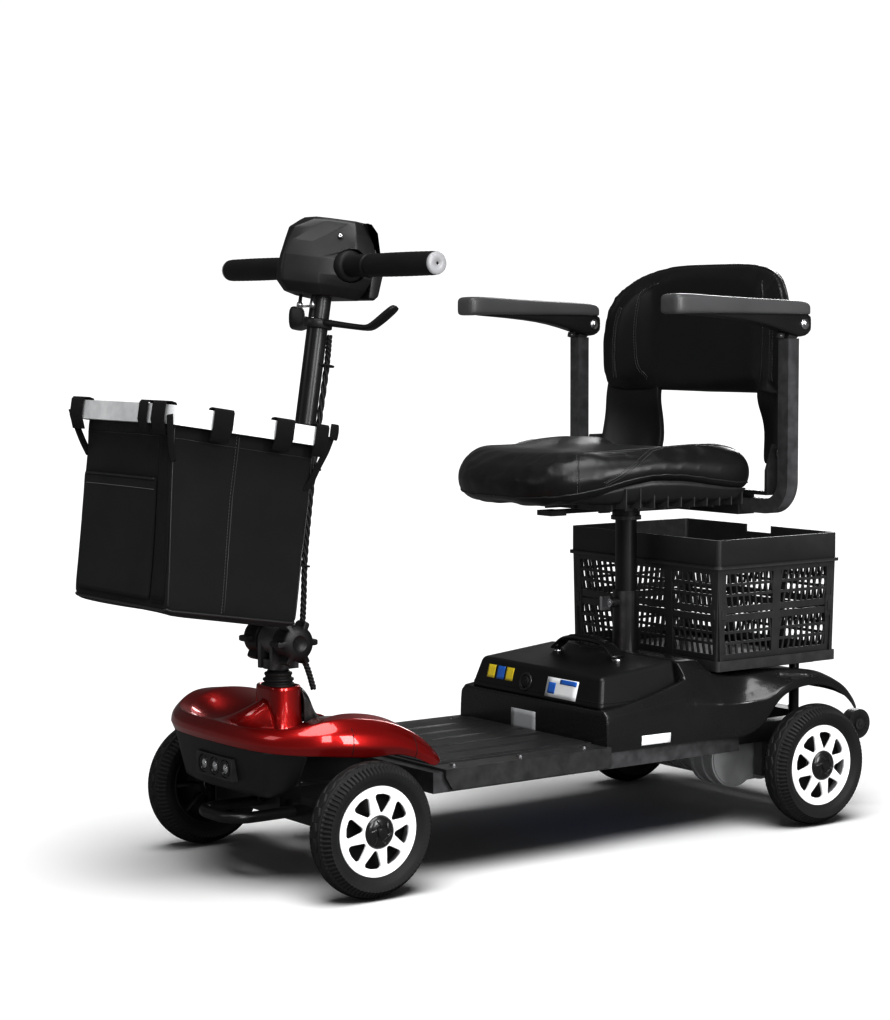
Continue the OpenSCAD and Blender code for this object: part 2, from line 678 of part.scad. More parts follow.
module basket_rim() color(silver) on_tiller() translate([0, 0, rim_w - rim_h])
    linear_extrude(rim_h) difference() {
        basket_plan(0);
        basket_plan(-rim_t);
    }

module bag_loft(grow, w0, w1) hull() {
    translate([0, 0, w1 - 1]) linear_extrude(1) basket_plan(grow - rim_t - 2, $fn = hull_fn);
    translate([64, -basket_w / 2 + 16 - grow, w0]) cube([196 + grow, basket_w - 32 + 2 * grow, 1]);
}

module basket_bag() color(black) on_tiller() difference() {
    bag_loft(0, rim_w - basket_h, rim_w - rim_h - 1);
    bag_loft(-3, rim_w - basket_h + 4, rim_w - rim_h);
}

// ---- seat ----------------------------------------------------------------------------------

module seat_post() color(black) union() {
    z_rod(post_r, post_x, 0, 196, seat_z - 14);
    z_rod(24, post_x, 0, seat_z - 14, seat_z - 8);
    z_rod(12, post_x, 0, seat_z - 8, seat_z + 20);
}

module post_lock_bolt() color(silver) union() {
    x_rod(4, 0, lock_z, post_x + post_r + 0.2, post_x + sleeve_r + 16);
    x_rod(8, 0, lock_z, post_x + sleeve_r + 11, post_x + sleeve_r + 15);
    box([post_x + sleeve_r + 14, -3, lock_z - 11], [post_x + sleeve_r + 30, 3, lock_z + 11]);
}

module seat_base() color(black) difference() {
    union() {
        z_rod(22, post_x, 0, seat_z - 7.8, seat_z + 26);
        box([post_x - 90, -120, seat_z + 26], [post_x + 120, 120, pan_z - 0.2]);
        // receiver for the armrest bars
        box([arm_x - 17, -160, seat_z - 1], [arm_x + 17, 160, seat_z + 33]);
        box([arm_x, -30, seat_z], [post_x, 30, seat_z + 30]);
        // side plates that carry the backrest pivots
        both_sides() {
            side_slab([[-364, 600], [-330, 600], [-316, 560], [-316, seat_z + 32], [-349, seat_z + 32],
                [-364, 560]], plate_y[0], plate_y[1]);
            box([-349, 150, seat_z + 32], [-316, plate_y[1], seat_z + 38]);
            box([-349, 150, seat_z + 28], [-316, 160, seat_z + 38]);
        }
        // ears that carry the swivel lever's pin
        for (y = [lever_y[0] - 7, lever_y[1] + 1])
            box([post_x + 20, y, seat_z - 4], [post_x + 40, y + 6, seat_z + 27]);
    }
    z_rod(12 + run, post_x, 0, seat_z - 9, seat_z + 21);
    box([arm_x - tube / 2 - 0.3, -161, seat_z + 3], [arm_x + tube / 2 + 0.3, 161, seat_z + 3 + tube + 0.6]);
    both_sides() y_rod(bolt_r + run, recline[0], recline[2], 215, 225);
    y_rod(4 + run, post_x + 30, seat_z + 2, lever_y[0] - 8, lever_y[0] + 30);
}

module swivel_lever() color(black) union() {
    box([post_x + 24, lever_y[0], seat_z - 2], [post_x + 132, lever_y[1], seat_z + 4]);
    box([post_x + 110, lever_y[0] - 8, seat_z - 4], [post_x + 140, lever_y[1] + 8, seat_z + 4]);
    y_rod(4, post_x + 30, seat_z + 2, lever_y[0] - 7, lever_y[0] + 28);
}

module seat_cushion() color(black) difference() {
    hull() for (s = [-1, 1]) {
        translate([seat_front - 70, s * (seat_w / 2 - 84), pan_z])
            cylinder(r1 = 56, r2 = 70, h = 50, $fn = hull_fn);
        translate([seat_front - 74, s * (seat_w / 2 - 94), pan_z]) cylinder(r = 52, h = 64, $fn = hull_fn);
        translate([seat_front - seat_l + 46, s * (seat_w / 2 - 40), pan_z])
            cylinder(r1 = 30, r2 = 36, h = 58, $fn = hull_fn);
    }
    // clears the plates that carry the backrest
    box([-400, -230, pan_z - 1], [-312, 230, 640]);
}

// Left leg of the backrest, from the pivot up to the back.
module back_leg() union() {
    y_rod(15, recline[0], recline[2], 202, 217.5);
    side_slab([[-361, 586], [-340, 600], [-366, 692], [-400, 692], [-392, 630]], 202, 217.5);
    side_slab([[-392, 630], [-374, 664], [-374, 692], [-400, 692]], 140, 217.5);
}

module backrest_shell() color(black) union() {
    both_sides() {
        back_leg();
        y_rod(bolt_r, recline[0], recline[2], 202, 226);
        // wing of the shell behind the cushion
        translate([0, 0, 676]) linear_extrude(190)
            polygon([[-425, 130], [-401, 205], [-395, 205], [-419, 130]]);
    }
    box([-424, -131, 676], [-418, 131, 866]);
    box([-424, -140, 676], [-400, 140, 692]);
}

// Plan of the back: a flat middle between two wings that come forward.
module back_plan() polygon([[-417.5, -132], [-417.5, 132], [-393.5, 205], [-386, 222], [-358, 222],
    [-362, 205], [-382, 132], [-382, -132], [-362, -205], [-358, -222], [-386, -222], [-393.5, -205]]);

module backrest_cushion() color(black) intersection() {
    translate([0, 0, 692.5]) linear_extrude(884 - 692.5) back_plan();
    hull() for (s = [-1, 1]) {
        translate([-440, s * 190, 708]) rotate([0, 90, 0]) cylinder(r = 32, h = 100, $fn = hull_fn);
        translate([-440, s * 120, 784]) rotate([0, 90, 0]) cylinder(r = 100, h = 100, $fn = hull_fn);
    }
}

module armrest_bar() color(black) difference() {
    union() {
        box([arm_x - tube / 2, 20, seat_z + 3.3], [arm_x + tube / 2, arm_y - 40, seat_z + 3.3 + tube]);
        translate([arm_x, arm_y - 40, seat_z + 3.3 + tube / 2 + 40]) rotate([90, 0, 90])
            rotate([0, 0, -90]) rotate_extrude(angle = 90) translate([40, 0]) square(tube, center = true);
        box([arm_x - tube / 2, arm_y - tube / 2, seat_z + 3.3 + tube / 2 + 40],
            [arm_x + tube / 2, arm_y + tube / 2, arm_pivot[2] - 22]);
        // lug that carries the armrest pivot
        side_slab([[arm_x - 8, arm_pivot[2] - 24], [arm_x + 10, arm_pivot[2] - 24],
            [arm_pivot[0] + 11, arm_pivot[2] + 4], [arm_pivot[0] - 11, arm_pivot[2] - 4]],
            arm_y - 6, arm_y + 6);
        y_rod(12, arm_pivot[0], arm_pivot[2], arm_y - 6, arm_y + 6);
    }
    y_rod(5 + run, arm_pivot[0], arm_pivot[2], arm_y - 10, arm_y + 10);
}

module armrest() color(charcoal) union() {
    // two cheeks on the pivot bolt, and the bracket that runs forward under the pad
    for (y = [arm_y - 10, arm_y + 6.5]) {
        y_rod(15, arm_pivot[0], arm_pivot[2], y, y + 3.5);
        side_slab([[arm_pivot[0], arm_pivot[2] - 15], [arm_pivot[0] + 60, arm_pivot[2] - 4],
            [arm_pivot[0] + 170, arm_pivot[2] + 14], [arm_pivot[0] + 170, arm_pivot[2] + 19],
            [arm_pivot[0] - 8, arm_pivot[2] + 19]], y, y + 3.5);
    }
    y_rod(5, arm_pivot[0], arm_pivot[2], arm_y - 14, arm_y + 14);
    hull() for (x = [arm_pivot[0] - 4, arm_pivot[0] + arm_l - 30], s = [-1, 1])
        translate([x, arm_y + s * 8, arm_pivot[2] + 18]) cylinder(r = 16, h = 22, $fn = hull_fn);
}

module armrest_bar_left() armrest_bar();
module armrest_bar_right() mirror([0, 1, 0]) armrest_bar();
module armrest_left() armrest();
module armrest_right() mirror([0, 1, 0]) armrest();

// ---- wheels --------------------------------------------------------------------------------

// Cross-section of a tyre: radius across, width up.
module tyre_section() {
    crown = [for (a = [-80:16:80]) [wheel_r - 14 + 14 * cos(a), (tyre_w / 2 - 10) * a / 80 + 10 * sin(a)]];
    polygon(concat([[bead_r, bead_w], [bead_r, -bead_w], [bead_r + 9, -bead_w - 7]],
        crown, [[bead_r + 9, bead_w + 7]]));
}

module tyre(x, y) color(black) translate([x, y, axle_z]) rotate([-90, 0, 0]) difference() {
    rotate_extrude($fn = 128) tyre_section();
    for (z = [-9, 0, 9]) rotate_extrude($fn = 128) translate([wheel_r - 2.5, z - 1]) square([6, 2]);
}

// A window between two spokes, as a plan outline.
module rim_window() {
    half = 180 / spokes;
    inner = 27;
    outer = rim_d / 2 - 12;
    spoke_half = 6;
    polygon([for (p = [[inner, -1], [outer - 6, -1], [outer, -0.6], [outer, 0.6], [outer - 6, 1], [inner, 1]])
        let (a = p[1] * (half - asin(spoke_half / p[0]))) [p[0] * cos(a), p[0] * sin(a)]]);
}

// The rim faces +Z, and out is the side the hub cap is on.
module rim(x, y, out) color(white) translate([x, y, axle_z]) rotate([-90 * out, 0, 0]) difference() {
    union() {
        rotate_extrude($fn = 128) polygon([[bead_r - 4, -19], [bead_r, -19], [bead_r, bead_w + 0.1],
            [bead_r + 5, bead_w + 4], [bead_r + 5, bead_w + 7], [bead_r - 4, bead_w + 5]]);
        translate([0, 0, 4]) difference() {
            cylinder(r = rim_d / 2 - 6, h = 11);
            for (i = [0:spokes - 1]) rotate([0, 0, (i + 0.5) * 360 / spokes]) translate([0, 0, -1])
                linear_extrude(14) rim_window();
        }
        translate([0, 0, -18]) cylinder(r = hub_r - 4, h = 24);
        translate([0, 0, 4]) cylinder(r = hub_r, h = 15);
        translate([0, 0, 18]) cylinder(r1 = hub_r, r2 = 14, h = 9);
    }
    translate([0, 0, -20]) cylinder(r = bore_r + run, h = 45);
}

// Rear rims carry their half of the drive axle.
module driven_rim(y) {
    s = sign(y);
    rim(rear_x, y, s);
    color(silver) y_rod(bore_r, rear_x, axle_z, s > 0 ? 116 : -wheel_y - 20, s > 0 ? wheel_y + 20 : -116);
}

module front_left_tyre() tyre(front_x, wheel_y);
module front_right_tyre() tyre(front_x, -wheel_y);
module rear_left_tyre() tyre(rear_x, wheel_y);
module rear_right_tyre() tyre(rear_x, -wheel_y);
module front_left_rim() rim(front_x, wheel_y, 1);
module front_right_rim() rim(front_x, -wheel_y, -1);
module rear_left_rim() driven_rim(wheel_y);
module rear_right_rim() driven_rim(-wheel_y);

module anti_tip_wheels() color(black) both_sides() difference() {
    union() {
        y_rod(anti_tip_r, anti_tip[0], anti_tip[2], anti_tip[1] - 8, anti_tip[1] + 10);
        y_rod(10, anti_tip[0], anti_tip[2], anti_tip[1] - 10, anti_tip[1] + 12);
    }
    y_rod(5 + run, anti_tip[0], anti_tip[2], anti_tip[1] - 12, anti_tip[1] + 14);
}

module frame_fasteners() color(silver) {
    // pan bolts, and bolts on the front and rear cross members
    both_sides() for (x = [0, 120, 240]) z_rod(5, x, 168, mat_z, mat_z + 3);
    both_sides() z_rod(6, -285, 60, rail_top, rail_top + 5, $fn = 6);
    both_sides() z_rod(6, -530, 60, rail_top, rail_top + 5, $fn = 6);
}

place() main_frame();
place() rear_frame();
place() floor_pan();
place() floor_mat();
place() front_shroud();
place() column_cover();
place() front_valance();
place() headlight_housing();
place() headlight_lenses();
place() front_bumper_hoop();
place() rear_shroud();
place() transaxle();
place() drive_motor();
place() crate_carrier();
place() crate_base();
place() crate_rim();
place() crate_panels();
place() frame_fasteners();
place() steering_bearings();
place() battery_case();
place() battery_cells();
place() battery_handle();
place() charge_port();
place() steering_shaft();
place() knuckle_left();
place() knuckle_right();
place() tie_rod();
place() tiller_tube();
place() tiller_knobs();
place() head_shell();
place() head_dash();
place() handlebar();
place() grips();
place() throttle_lever();
place() speed_dial();
place() power_key();
place() horn_button();
place() basket_rim();
place() basket_bag();
place() tiller_cable();
place() seat_post();
place() post_lock_bolt();
place() seat_base();
place() swivel_lever();
place() seat_cushion();
place() backrest_shell();
place() backrest_cushion();
place() armrest_bar_left();
place() armrest_bar_right();
place() armrest_left();
place() armrest_right();
place() front_left_tyre();
place() front_left_rim();
place() front_right_tyre();
place() front_right_rim();
place() rear_left_tyre();
place() rear_left_rim();
place() rear_right_tyre();
place() rear_right_rim();
place() anti_tip_wheels();
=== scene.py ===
"""Looks for a four-wheel travel mobility scooter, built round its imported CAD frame."""
import json
import math

import bmesh
import bpy
from mathutils import Matrix, Vector
from mathutils.bvhtree import BVHTree

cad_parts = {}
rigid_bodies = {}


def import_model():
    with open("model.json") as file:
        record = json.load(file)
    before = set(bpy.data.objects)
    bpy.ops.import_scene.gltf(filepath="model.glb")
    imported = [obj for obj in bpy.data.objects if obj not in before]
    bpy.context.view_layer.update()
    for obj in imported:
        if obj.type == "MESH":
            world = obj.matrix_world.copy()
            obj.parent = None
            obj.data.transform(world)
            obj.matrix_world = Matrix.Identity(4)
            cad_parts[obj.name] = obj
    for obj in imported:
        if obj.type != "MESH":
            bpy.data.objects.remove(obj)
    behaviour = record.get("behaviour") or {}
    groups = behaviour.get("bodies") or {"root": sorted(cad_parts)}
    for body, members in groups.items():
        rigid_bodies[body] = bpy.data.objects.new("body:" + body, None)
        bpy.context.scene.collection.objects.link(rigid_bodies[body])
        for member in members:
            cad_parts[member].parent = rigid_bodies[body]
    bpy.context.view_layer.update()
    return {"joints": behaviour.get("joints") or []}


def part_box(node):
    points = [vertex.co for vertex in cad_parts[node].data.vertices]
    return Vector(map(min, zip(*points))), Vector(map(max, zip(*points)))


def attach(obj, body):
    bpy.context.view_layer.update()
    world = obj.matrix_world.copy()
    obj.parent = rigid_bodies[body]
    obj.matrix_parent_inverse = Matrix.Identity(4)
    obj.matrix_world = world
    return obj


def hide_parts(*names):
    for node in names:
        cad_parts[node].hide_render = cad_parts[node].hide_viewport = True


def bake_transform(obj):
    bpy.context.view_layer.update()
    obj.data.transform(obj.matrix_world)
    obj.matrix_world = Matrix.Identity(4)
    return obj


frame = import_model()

MM = 0.001
JOINTS = {joint["name"]: joint for joint in frame["joints"]}


# ---- places, all taken from the frame ------------------------------------------------------

def centre(node):
    """Middle of a CAD node's box."""
    low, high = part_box(node)
    return (low + high) / 2


MID_X = (centre("front_left_tyre").x + centre("rear_left_tyre").x) / 2
AHEAD, LEFT, UP = Vector((1, 0, 0)), Vector((0, 1, 0)), Vector((0, 0, 1))
HINGE = Vector(JOINTS["tiller_fold"]["pos_m"])
TILLER_UP = Vector(JOINTS["throttle_pull"]["axis"]).normalized()
TILLER_AHEAD = LEFT.cross(TILLER_UP)
SIDES = ((1, "left"), (-1, "right"))


def at(x, y, z):
    """A place in millimetres: ahead of the middle of the wheelbase, to the left, above the ground."""
    return Vector((MID_X + x * MM, y * MM, z * MM))


def on_tiller(u, side, w):
    """A place in millimetres: ahead of the tiller, to the left, and up along it from its hinge."""
    return HINGE + TILLER_AHEAD * (u * MM) + Vector((0, side * MM, 0)) + TILLER_UP * (w * MM)


# ---- materials -----------------------------------------------------------------------------

class Shader:
    """A Principled material whose inputs are joined to procedural nodes."""

    def __init__(self, name, colour, rough, metal=0.0, coat=0.0, specular=0.5):
        self.material = bpy.data.materials.new(name)
        self.material.use_nodes = True
        self.tree = self.material.node_tree
        self.main = self.tree.nodes["Principled BSDF"]
        self.coords = self.tree.nodes.new("ShaderNodeTexCoord")
        self.colour = (*colour, 1)
        self.main.inputs["Base Color"].default_value = self.colour
        self.main.inputs["Roughness"].default_value = rough
        self.main.inputs["Metallic"].default_value = metal
        self.main.inputs["Coat Weight"].default_value = coat
        self.main.inputs["Coat Roughness"].default_value = 0.06
        self.main.inputs["Specular IOR Level"].default_value = specular
        self.material.diffuse_color = self.colour
        self.height = None

    def node(self, kind, **inputs):
        made = self.tree.nodes.new(kind)
        for key, value in inputs.items():
            made.inputs[key.replace("_", " ")].default_value = value
        return made

    def link(self, source, target):
        self.tree.links.new(source, target)

    def noise(self, scale, detail=4.0):
        made = self.node("ShaderNodeTexNoise", Scale=scale, Detail=detail)
        self.link(self.coords.outputs["Object"], made.inputs["Vector"])
        return made.outputs["Fac"]

    def cells(self, scale):
        made = self.node("ShaderNodeTexVoronoi", Scale=scale)
        self.link(self.coords.outputs["Object"], made.inputs["Vector"])
        return made.outputs["Distance"]

    def waves(self, scale, direction, distortion=0.4):
        made = self.node("ShaderNodeTexWave", Scale=scale, Distortion=distortion)
        made.bands_direction = direction
        self.link(self.coords.outputs["Object"], made.inputs["Vector"])
        return made.outputs["Fac"]

    def math(self, operation, first, second):
        made = self.tree.nodes.new("ShaderNodeMath")
        made.operation = operation
        for index, value in enumerate((first, second)):
            if isinstance(value, float):
                made.inputs[index].default_value = value
            else:
                self.link(value, made.inputs[index])
        return made.outputs[0]

    def ramp(self, source, low, high):
        """source, from 0 to 1, stretched to run from low to high."""
        made = self.node("ShaderNodeMapRange", To_Min=low, To_Max=high)
        self.link(source, made.inputs["Value"])
        return made.outputs["Result"]

    def vary(self, scale, amount):
        """Clouds the colour by amount, at a scale in clouds per metre."""
        mix = self.tree.nodes.new("ShaderNodeMix")
        mix.data_type = "RGBA"
        dark = [c * (1 - amount) for c in self.colour[:3]]
        light = [min(1.0, c * (1 + amount) + amount * 0.01) for c in self.colour[:3]]
        mix.inputs["A"].default_value = (*dark, 1)
        mix.inputs["B"].default_value = (*light, 1)
        self.link(self.noise(scale), mix.inputs["Factor"])
        self.link(mix.outputs["Result"], self.main.inputs["Base Color"])
        self.last_mix = mix
        return self

    def smudge(self, scale, low, high):
        """Lets the roughness wander between low and high."""
        self.link(self.ramp(self.noise(scale, 6.0), low, high), self.main.inputs["Roughness"])
        return self

    def wear(self, colour, amount):
        """Rubs sharp edges paler."""
        edges = self.tree.nodes.new("ShaderNodeNewGeometry").outputs["Pointiness"]
        sharp = self.node("ShaderNodeMapRange", From_Min=0.53, From_Max=0.62, To_Max=amount)
        self.link(edges, sharp.inputs["Value"])
        rubbed = self.math("MULTIPLY", sharp.outputs["Result"], self.noise(60.0))
        mix = self.tree.nodes.new("ShaderNodeMix")
        mix.data_type = "RGBA"
        mix.inputs["B"].default_value = (*colour, 1)
        self.link(self.last_mix.outputs["Result"], mix.inputs["A"])
        self.link(rubbed, mix.inputs["Factor"])
        self.link(mix.outputs["Result"], self.main.inputs["Base Color"])
        return self

    def bump(self, source, strength, distance=0.0004):
        """Adds a height to the surface's bump, over any that is there already."""
        made = self.node("ShaderNodeBump", Strength=strength, Distance=distance)
        self.link(source, made.inputs["Height"])
        if self.height is not None:
            self.link(self.height, made.inputs["Normal"])
        self.height = made.outputs["Normal"]
        self.link(self.height, self.main.inputs["Normal"])
        return self


def moulded(name, colour, rough, grain=1400.0, strength=0.35, coat=0.0):
    """Injection-moulded plastic with a fine pebbled grain."""
    made = Shader(name, colour, rough, coat=coat)
    made.vary(14.0, 0.22).smudge(22.0, rough - 0.07, rough + 0.09)
    made.wear([min(1, c + 0.1) for c in colour], 0.5)
    made.bump(made.cells(grain), strength, 0.00018).bump(made.noise(35.0), 0.12, 0.0006)
    return made.material


def painted(name, colour, rough, metal=0.0):
    """Powder-coated metal with slight orange peel."""
    made = Shader(name, colour, rough, metal=metal, coat=0.15)
    made.vary(18.0, 0.2).smudge(30.0, rough - 0.06, rough + 0.1)
    made.wear((0.22, 0.22, 0.23), 0.45)
    return made.bump(made.noise(700.0, 2.0), 0.12, 0.0002).material


def red_paint():
    """Glossy metallic red: flakes under a clear coat."""
    made = Shader("red_gloss_paint", (0.33, 0.0045, 0.004), 0.3, metal=0.72, coat=1.0)
    made.vary(7.0, 0.12).wear((0.6, 0.05, 0.04), 0.3)
    made.smudge(1800.0, 0.24, 0.42)
    return made.bump(made.noise(260.0, 2.0), 0.02, 0.0003).material


def vinyl():
    """Upholstery vinyl: small pebbled grain, soft creases, a low sheen."""
    made = Shader("seat_vinyl", (0.006, 0.006, 0.0065), 0.36, specular=0.5)
    made.vary(9.0, 0.3).smudge(16.0, 0.3, 0.44)
    made.main.inputs["Sheen Weight"].default_value = 0.03
    made.bump(made.cells(820.0), 0.22, 0.0002)
    return made.bump(made.noise(24.0, 3.0), 0.05, 0.002).material


def weave(name, colour, threads, rough=0.82, strength=0.55):
    """Plain-woven cloth with threads across and along."""
    made = Shader(name, colour, rough, specular=0.18)
    made.vary(11.0, 0.3).smudge(18.0, rough - 0.1, rough + 0.06)
    across = made.waves(threads, "Z")
    along = made.waves(threads * 0.72, "DIAGONAL")
    made.main.inputs["Sheen Weight"].default_value = 0.03
    made.bump(made.math("MULTIPLY", across, along), strength, 0.0003)
    return made.bump(made.noise(26.0, 3.0), 0.25, 0.003).material


def rubber(name, colour, rough=0.72):
    """Matt rubber with dust in its pores."""
    made = Shader(name, colour, rough, specular=0.35)
    made.vary(20.0, 0.3).smudge(40.0, rough - 0.1, rough + 0.1)
    made.wear((0.09, 0.09, 0.09), 0.5)
    return made.bump(made.noise(1500.0, 2.0), 0.25, 0.0002).material


def bright_metal(name, colour, rough, brush=420.0):
    """Brushed or plated metal."""
    made = Shader(name, colour, rough, metal=1.0)
    made.vary(25.0, 0.1).smudge(45.0, max(0.05, rough - 0.1), rough + 0.12)
    return made.bump(made.waves(brush, "Z", 6.0), 0.05, 0.0002).material


def cast_metal():
    """Sand-cast aluminium."""
    made = Shader("cast_aluminium", (0.42, 0.425, 0.43), 0.5, metal=0.35)
    made.vary(30.0, 0.25).smudge(60.0, 0.38, 0.6)
    return made.bump(made.noise(900.0, 3.0), 0.5, 0.0004).material


def white_gloss():
    made = Shader("wheel_white", (0.83, 0.83, 0.84), 0.28, coat=0.6)
    made.vary(14.0, 0.05).smudge(30.0, 0.22, 0.36)
    return made.bump(made.noise(500.0, 2.0), 0.05, 0.0002).material


def plain(name, colour, rough, coat=0.2):
    made = Shader(name, colour, rough, coat=coat)
    made.vary(40.0, 0.08).smudge(70.0, rough - 0.05, rough + 0.08)
    return made.bump(made.noise(900.0, 2.0), 0.06, 0.0001).material


def clear_lens():
    made = Shader("lens_dark", (0.012, 0.012, 0.015), 0.06, coat=1.0)
    return made.bump(made.waves(900.0, "Y", 0.0), 0.15, 0.0003).material


RED = red_paint()
SATIN_BLACK = painted("black_powder_coat", (0.008, 0.008, 0.0085), 0.34)
PLASTIC = moulded("black_moulded_plastic", (0.009, 0.009, 0.0095), 0.4)
HEAD_PLASTIC = moulded("head_plastic", (0.013, 0.013, 0.0135), 0.38, 1100.0)
GLOSS_BLACK = moulded("black_body_plastic", (0.011, 0.011, 0.0115), 0.27, 900.0, 0.1, 0.3)
# The armrest pads are painted a lighter grey than the other black plastic, a painted highlight on both
# pads.
ARM_PLASTIC_PAINTED_HIGHLIGHT = moulded("armrest_pad", (0.075, 0.075, 0.077), 0.36, 800.0, 0.15)
CRATE_PLASTIC = moulded("black_plastic", (0.02, 0.02, 0.021), 0.36, 500.0, 0.12)
VINYL = vinyl()
BAG_CLOTH = weave("bag_cloth", (0.011, 0.011, 0.0115), 1500.0)
WEBBING = weave("webbing", (0.007, 0.007, 0.007), 900.0, 0.7, 0.9)
TYRE_RUBBER = rubber("tyre_rubber", (0.013, 0.013, 0.013), 0.6)
SOFT_RUBBER = rubber("grip_rubber", (0.009, 0.009, 0.009), 0.55)
MAT_RUBBER = rubber("mat_rubber", (0.022, 0.022, 0.023), 0.4)
CAP_GREY = plain("grip_cap_grey", (0.3, 0.3, 0.31), 0.45)
WHITE = white_gloss()
# The basket rim's silver gets a pale colour that shows mostly as diffuse: a painted reflection of the
# bright room over its real silver tone.
RIM_SILVER_PAINTED_REFLECTION = painted("rim_silver_painted_reflection", (0.82, 0.83, 0.84), 0.38, 0.35)
ZINC = bright_metal("zinc_steel", (0.62, 0.62, 0.64), 0.25)
CAST = cast_metal()
LENS = clear_lens()
CHROME = bright_metal("reflector_chrome", (0.9, 0.91, 0.93), 0.12)
THREAD = plain("seam_thread", (0.12, 0.12, 0.125), 0.6, 0.0)
PIPING = plain("piping_black", (0.02, 0.02, 0.021), 0.35, 0.1)
LABEL_WHITE = plain("label_white", (0.82, 0.83, 0.84), 0.35)
LABEL_BLUE = plain("label_blue", (0.03, 0.16, 0.55), 0.35)
LABEL_YELLOW = plain("label_yellow", (0.75, 0.6, 0.04), 0.35)
LABEL_GREY = plain("label_grey", (0.4, 0.41, 0.42), 0.4)
CELL_BLUE = plain("cell_wrap", (0.03, 0.1, 0.4), 0.3)
HORN = plain("horn_yellow", (0.75, 0.5, 0.03), 0.3)
# Deep black for parting lines and cable ties, and as painted shade on the floors of the grip caps' holes.
BLACK_AND_HOLE_SHADE = plain("deep_black", (0.004, 0.004, 0.004), 0.8, 0.0)


# ---- mesh helpers --------------------------------------------------------------------------

def add_mesh(name, points, faces, material, smooth=True):
    mesh = bpy.data.meshes.new(name)
    mesh.from_pydata([tuple(p) for p in points], [], faces)
    mesh.validate()
    made = bpy.data.objects.new(name, mesh)
    bpy.context.scene.collection.objects.link(made)
    mesh.materials.append(material)
    fix_normals(made)
    mesh.shade_smooth() if smooth else mesh.shade_flat()
    return made


def fix_normals(piece):
    work = bmesh.new()
    work.from_mesh(piece.data)
    bmesh.ops.recalc_face_normals(work, faces=work.faces)
    work.to_mesh(piece.data)
    work.free()


def grid_faces(rows, columns, wrap_rows=False, wrap_columns=False):
    """Quads between rows of points that are stored row after row."""
    faces = []
    for i in range(rows if wrap_rows else rows - 1):
        for j in range(columns if wrap_columns else columns - 1):
            a, b = i * columns, (i + 1) % rows * columns
            k = (j + 1) % columns
            faces.append((a + j, a + k, b + k, b + j))
    return faces


def sheet(name, rows, material, wrap_rows=False, wrap_columns=False):
    """An open or wrapped surface through rows of points."""
    points = [p for row in rows for p in row]
    faces = grid_faces(len(rows), len(rows[0]), wrap_rows, wrap_columns)
    return add_mesh(name, points, faces, material)


def loft(name, sections, material, smooth=True):
    """A closed solid through closed sections, with flat ends."""
    count = len(sections[0])
    points = [p for section in sections for p in section]
    faces = grid_faces(len(sections), count, wrap_columns=True)
    faces.append(tuple(reversed(range(count))))
    last = (len(sections) - 1) * count
    faces.append(tuple(range(last, last + count)))
    return add_mesh(name, points, faces, material, smooth)


def modify(piece, kind, **settings):
    made = piece.modifiers.new(kind.lower(), kind)
    for key, value in settings.items():
        setattr(made, key, value)
    return made


def subdivide(piece, levels=2):
    modify(piece, "SUBSURF", levels=levels, render_levels=levels)
    return piece


def soften(piece, width, segments=3, angle=30.0, harden=True):
    """Rounds the edges that are sharper than angle degrees by width millimetres."""
    modify(piece, "BEVEL", width=width * MM, segments=segments, limit_method="ANGLE",
           angle_limit=math.radians(angle), harden_normals=harden)
    return piece


def crisp(piece, angle):
    """Shades the edges that are sharper than angle degrees as edges."""
    piece.data.set_sharp_from_angle(angle=math.radians(angle))


def thicken(piece, thickness, offset=-1.0):
    modify(piece, "SOLIDIFY", thickness=thickness * MM, offset=offset)
    return piece


def join(name, pieces):
    """One object from several, with their modifiers applied."""
    graph = bpy.context.evaluated_depsgraph_get()
    work = bmesh.new()
    materials = []
    for piece in pieces:
        graph.update()
        mesh = bpy.data.meshes.new_from_object(piece.evaluated_get(graph))
        mesh.transform(piece.matrix_world)
        slots = []
        for material in mesh.materials:
            if material not in materials:
                materials.append(material)
            slots.append(materials.index(material))
        first = len(work.faces)
        work.from_mesh(mesh)
        work.faces.ensure_lookup_table()
        for face in work.faces[first:]:
            face.material_index = slots[face.material_index] if slots else 0
        bpy.data.meshes.remove(mesh)
    mesh = bpy.data.meshes.new(name)
    work.to_mesh(mesh)
    work.free()
    for material in materials:
        mesh.materials.append(material)
    for piece in pieces:
        bpy.data.objects.remove(piece)
    made = bpy.data.objects.new(name, mesh)
    bpy.context.scene.collection.objects.link(made)
    return made


def apply_all(piece):
    """Bakes a piece's modifiers into its mesh."""
    graph = bpy.context.evaluated_depsgraph_get()
    mesh = bpy.data.meshes.new_from_object(piece.evaluated_get(graph))
    piece.modifiers.clear()
    piece.data = mesh
    return piece


# Faces of a box whose corners are stored low before high, with the last direction changing fastest.
BOX_FACES = [(0, 1, 3, 2), (4, 6, 7, 5), (0, 4, 5, 1), (2, 3, 7, 6), (0, 2, 6, 4), (1, 5, 7, 3)]


def block(name, low, high, material, rounding=1.5, smooth=True):
    """A rounded box between two corners."""
    points = [Vector((x, y, z)) for x in (low.x, high.x) for y in (low.y, high.y) for z in (low.z, high.z)]
    return soften(add_mesh(name, points, BOX_FACES, material, smooth), rounding)


def turns(count):
    """Evenly spaced angles round a full circle."""
    return [2 * math.pi * i / count for i in range(count)]


def spoke(angle):
    """The direction out of a wheel's middle at an angle from straight ahead."""
    return Vector((math.cos(angle), 0, math.sin(angle)))


def heading(path, i):
    """The direction of a path at one of its points."""
    return (path[min(i + 1, len(path) - 1)] - path[max(i - 1, 0)]).normalized()


def ring_points(origin, axis, across, radius, count):
    """Points on a circle round axis, starting at across."""
    axis = axis.normalized()
    first = across.normalized()
    second = axis.cross(first)
    return [origin + (first * math.cos(t) + second * math.sin(t)) * radius
            for t in turns(count)]


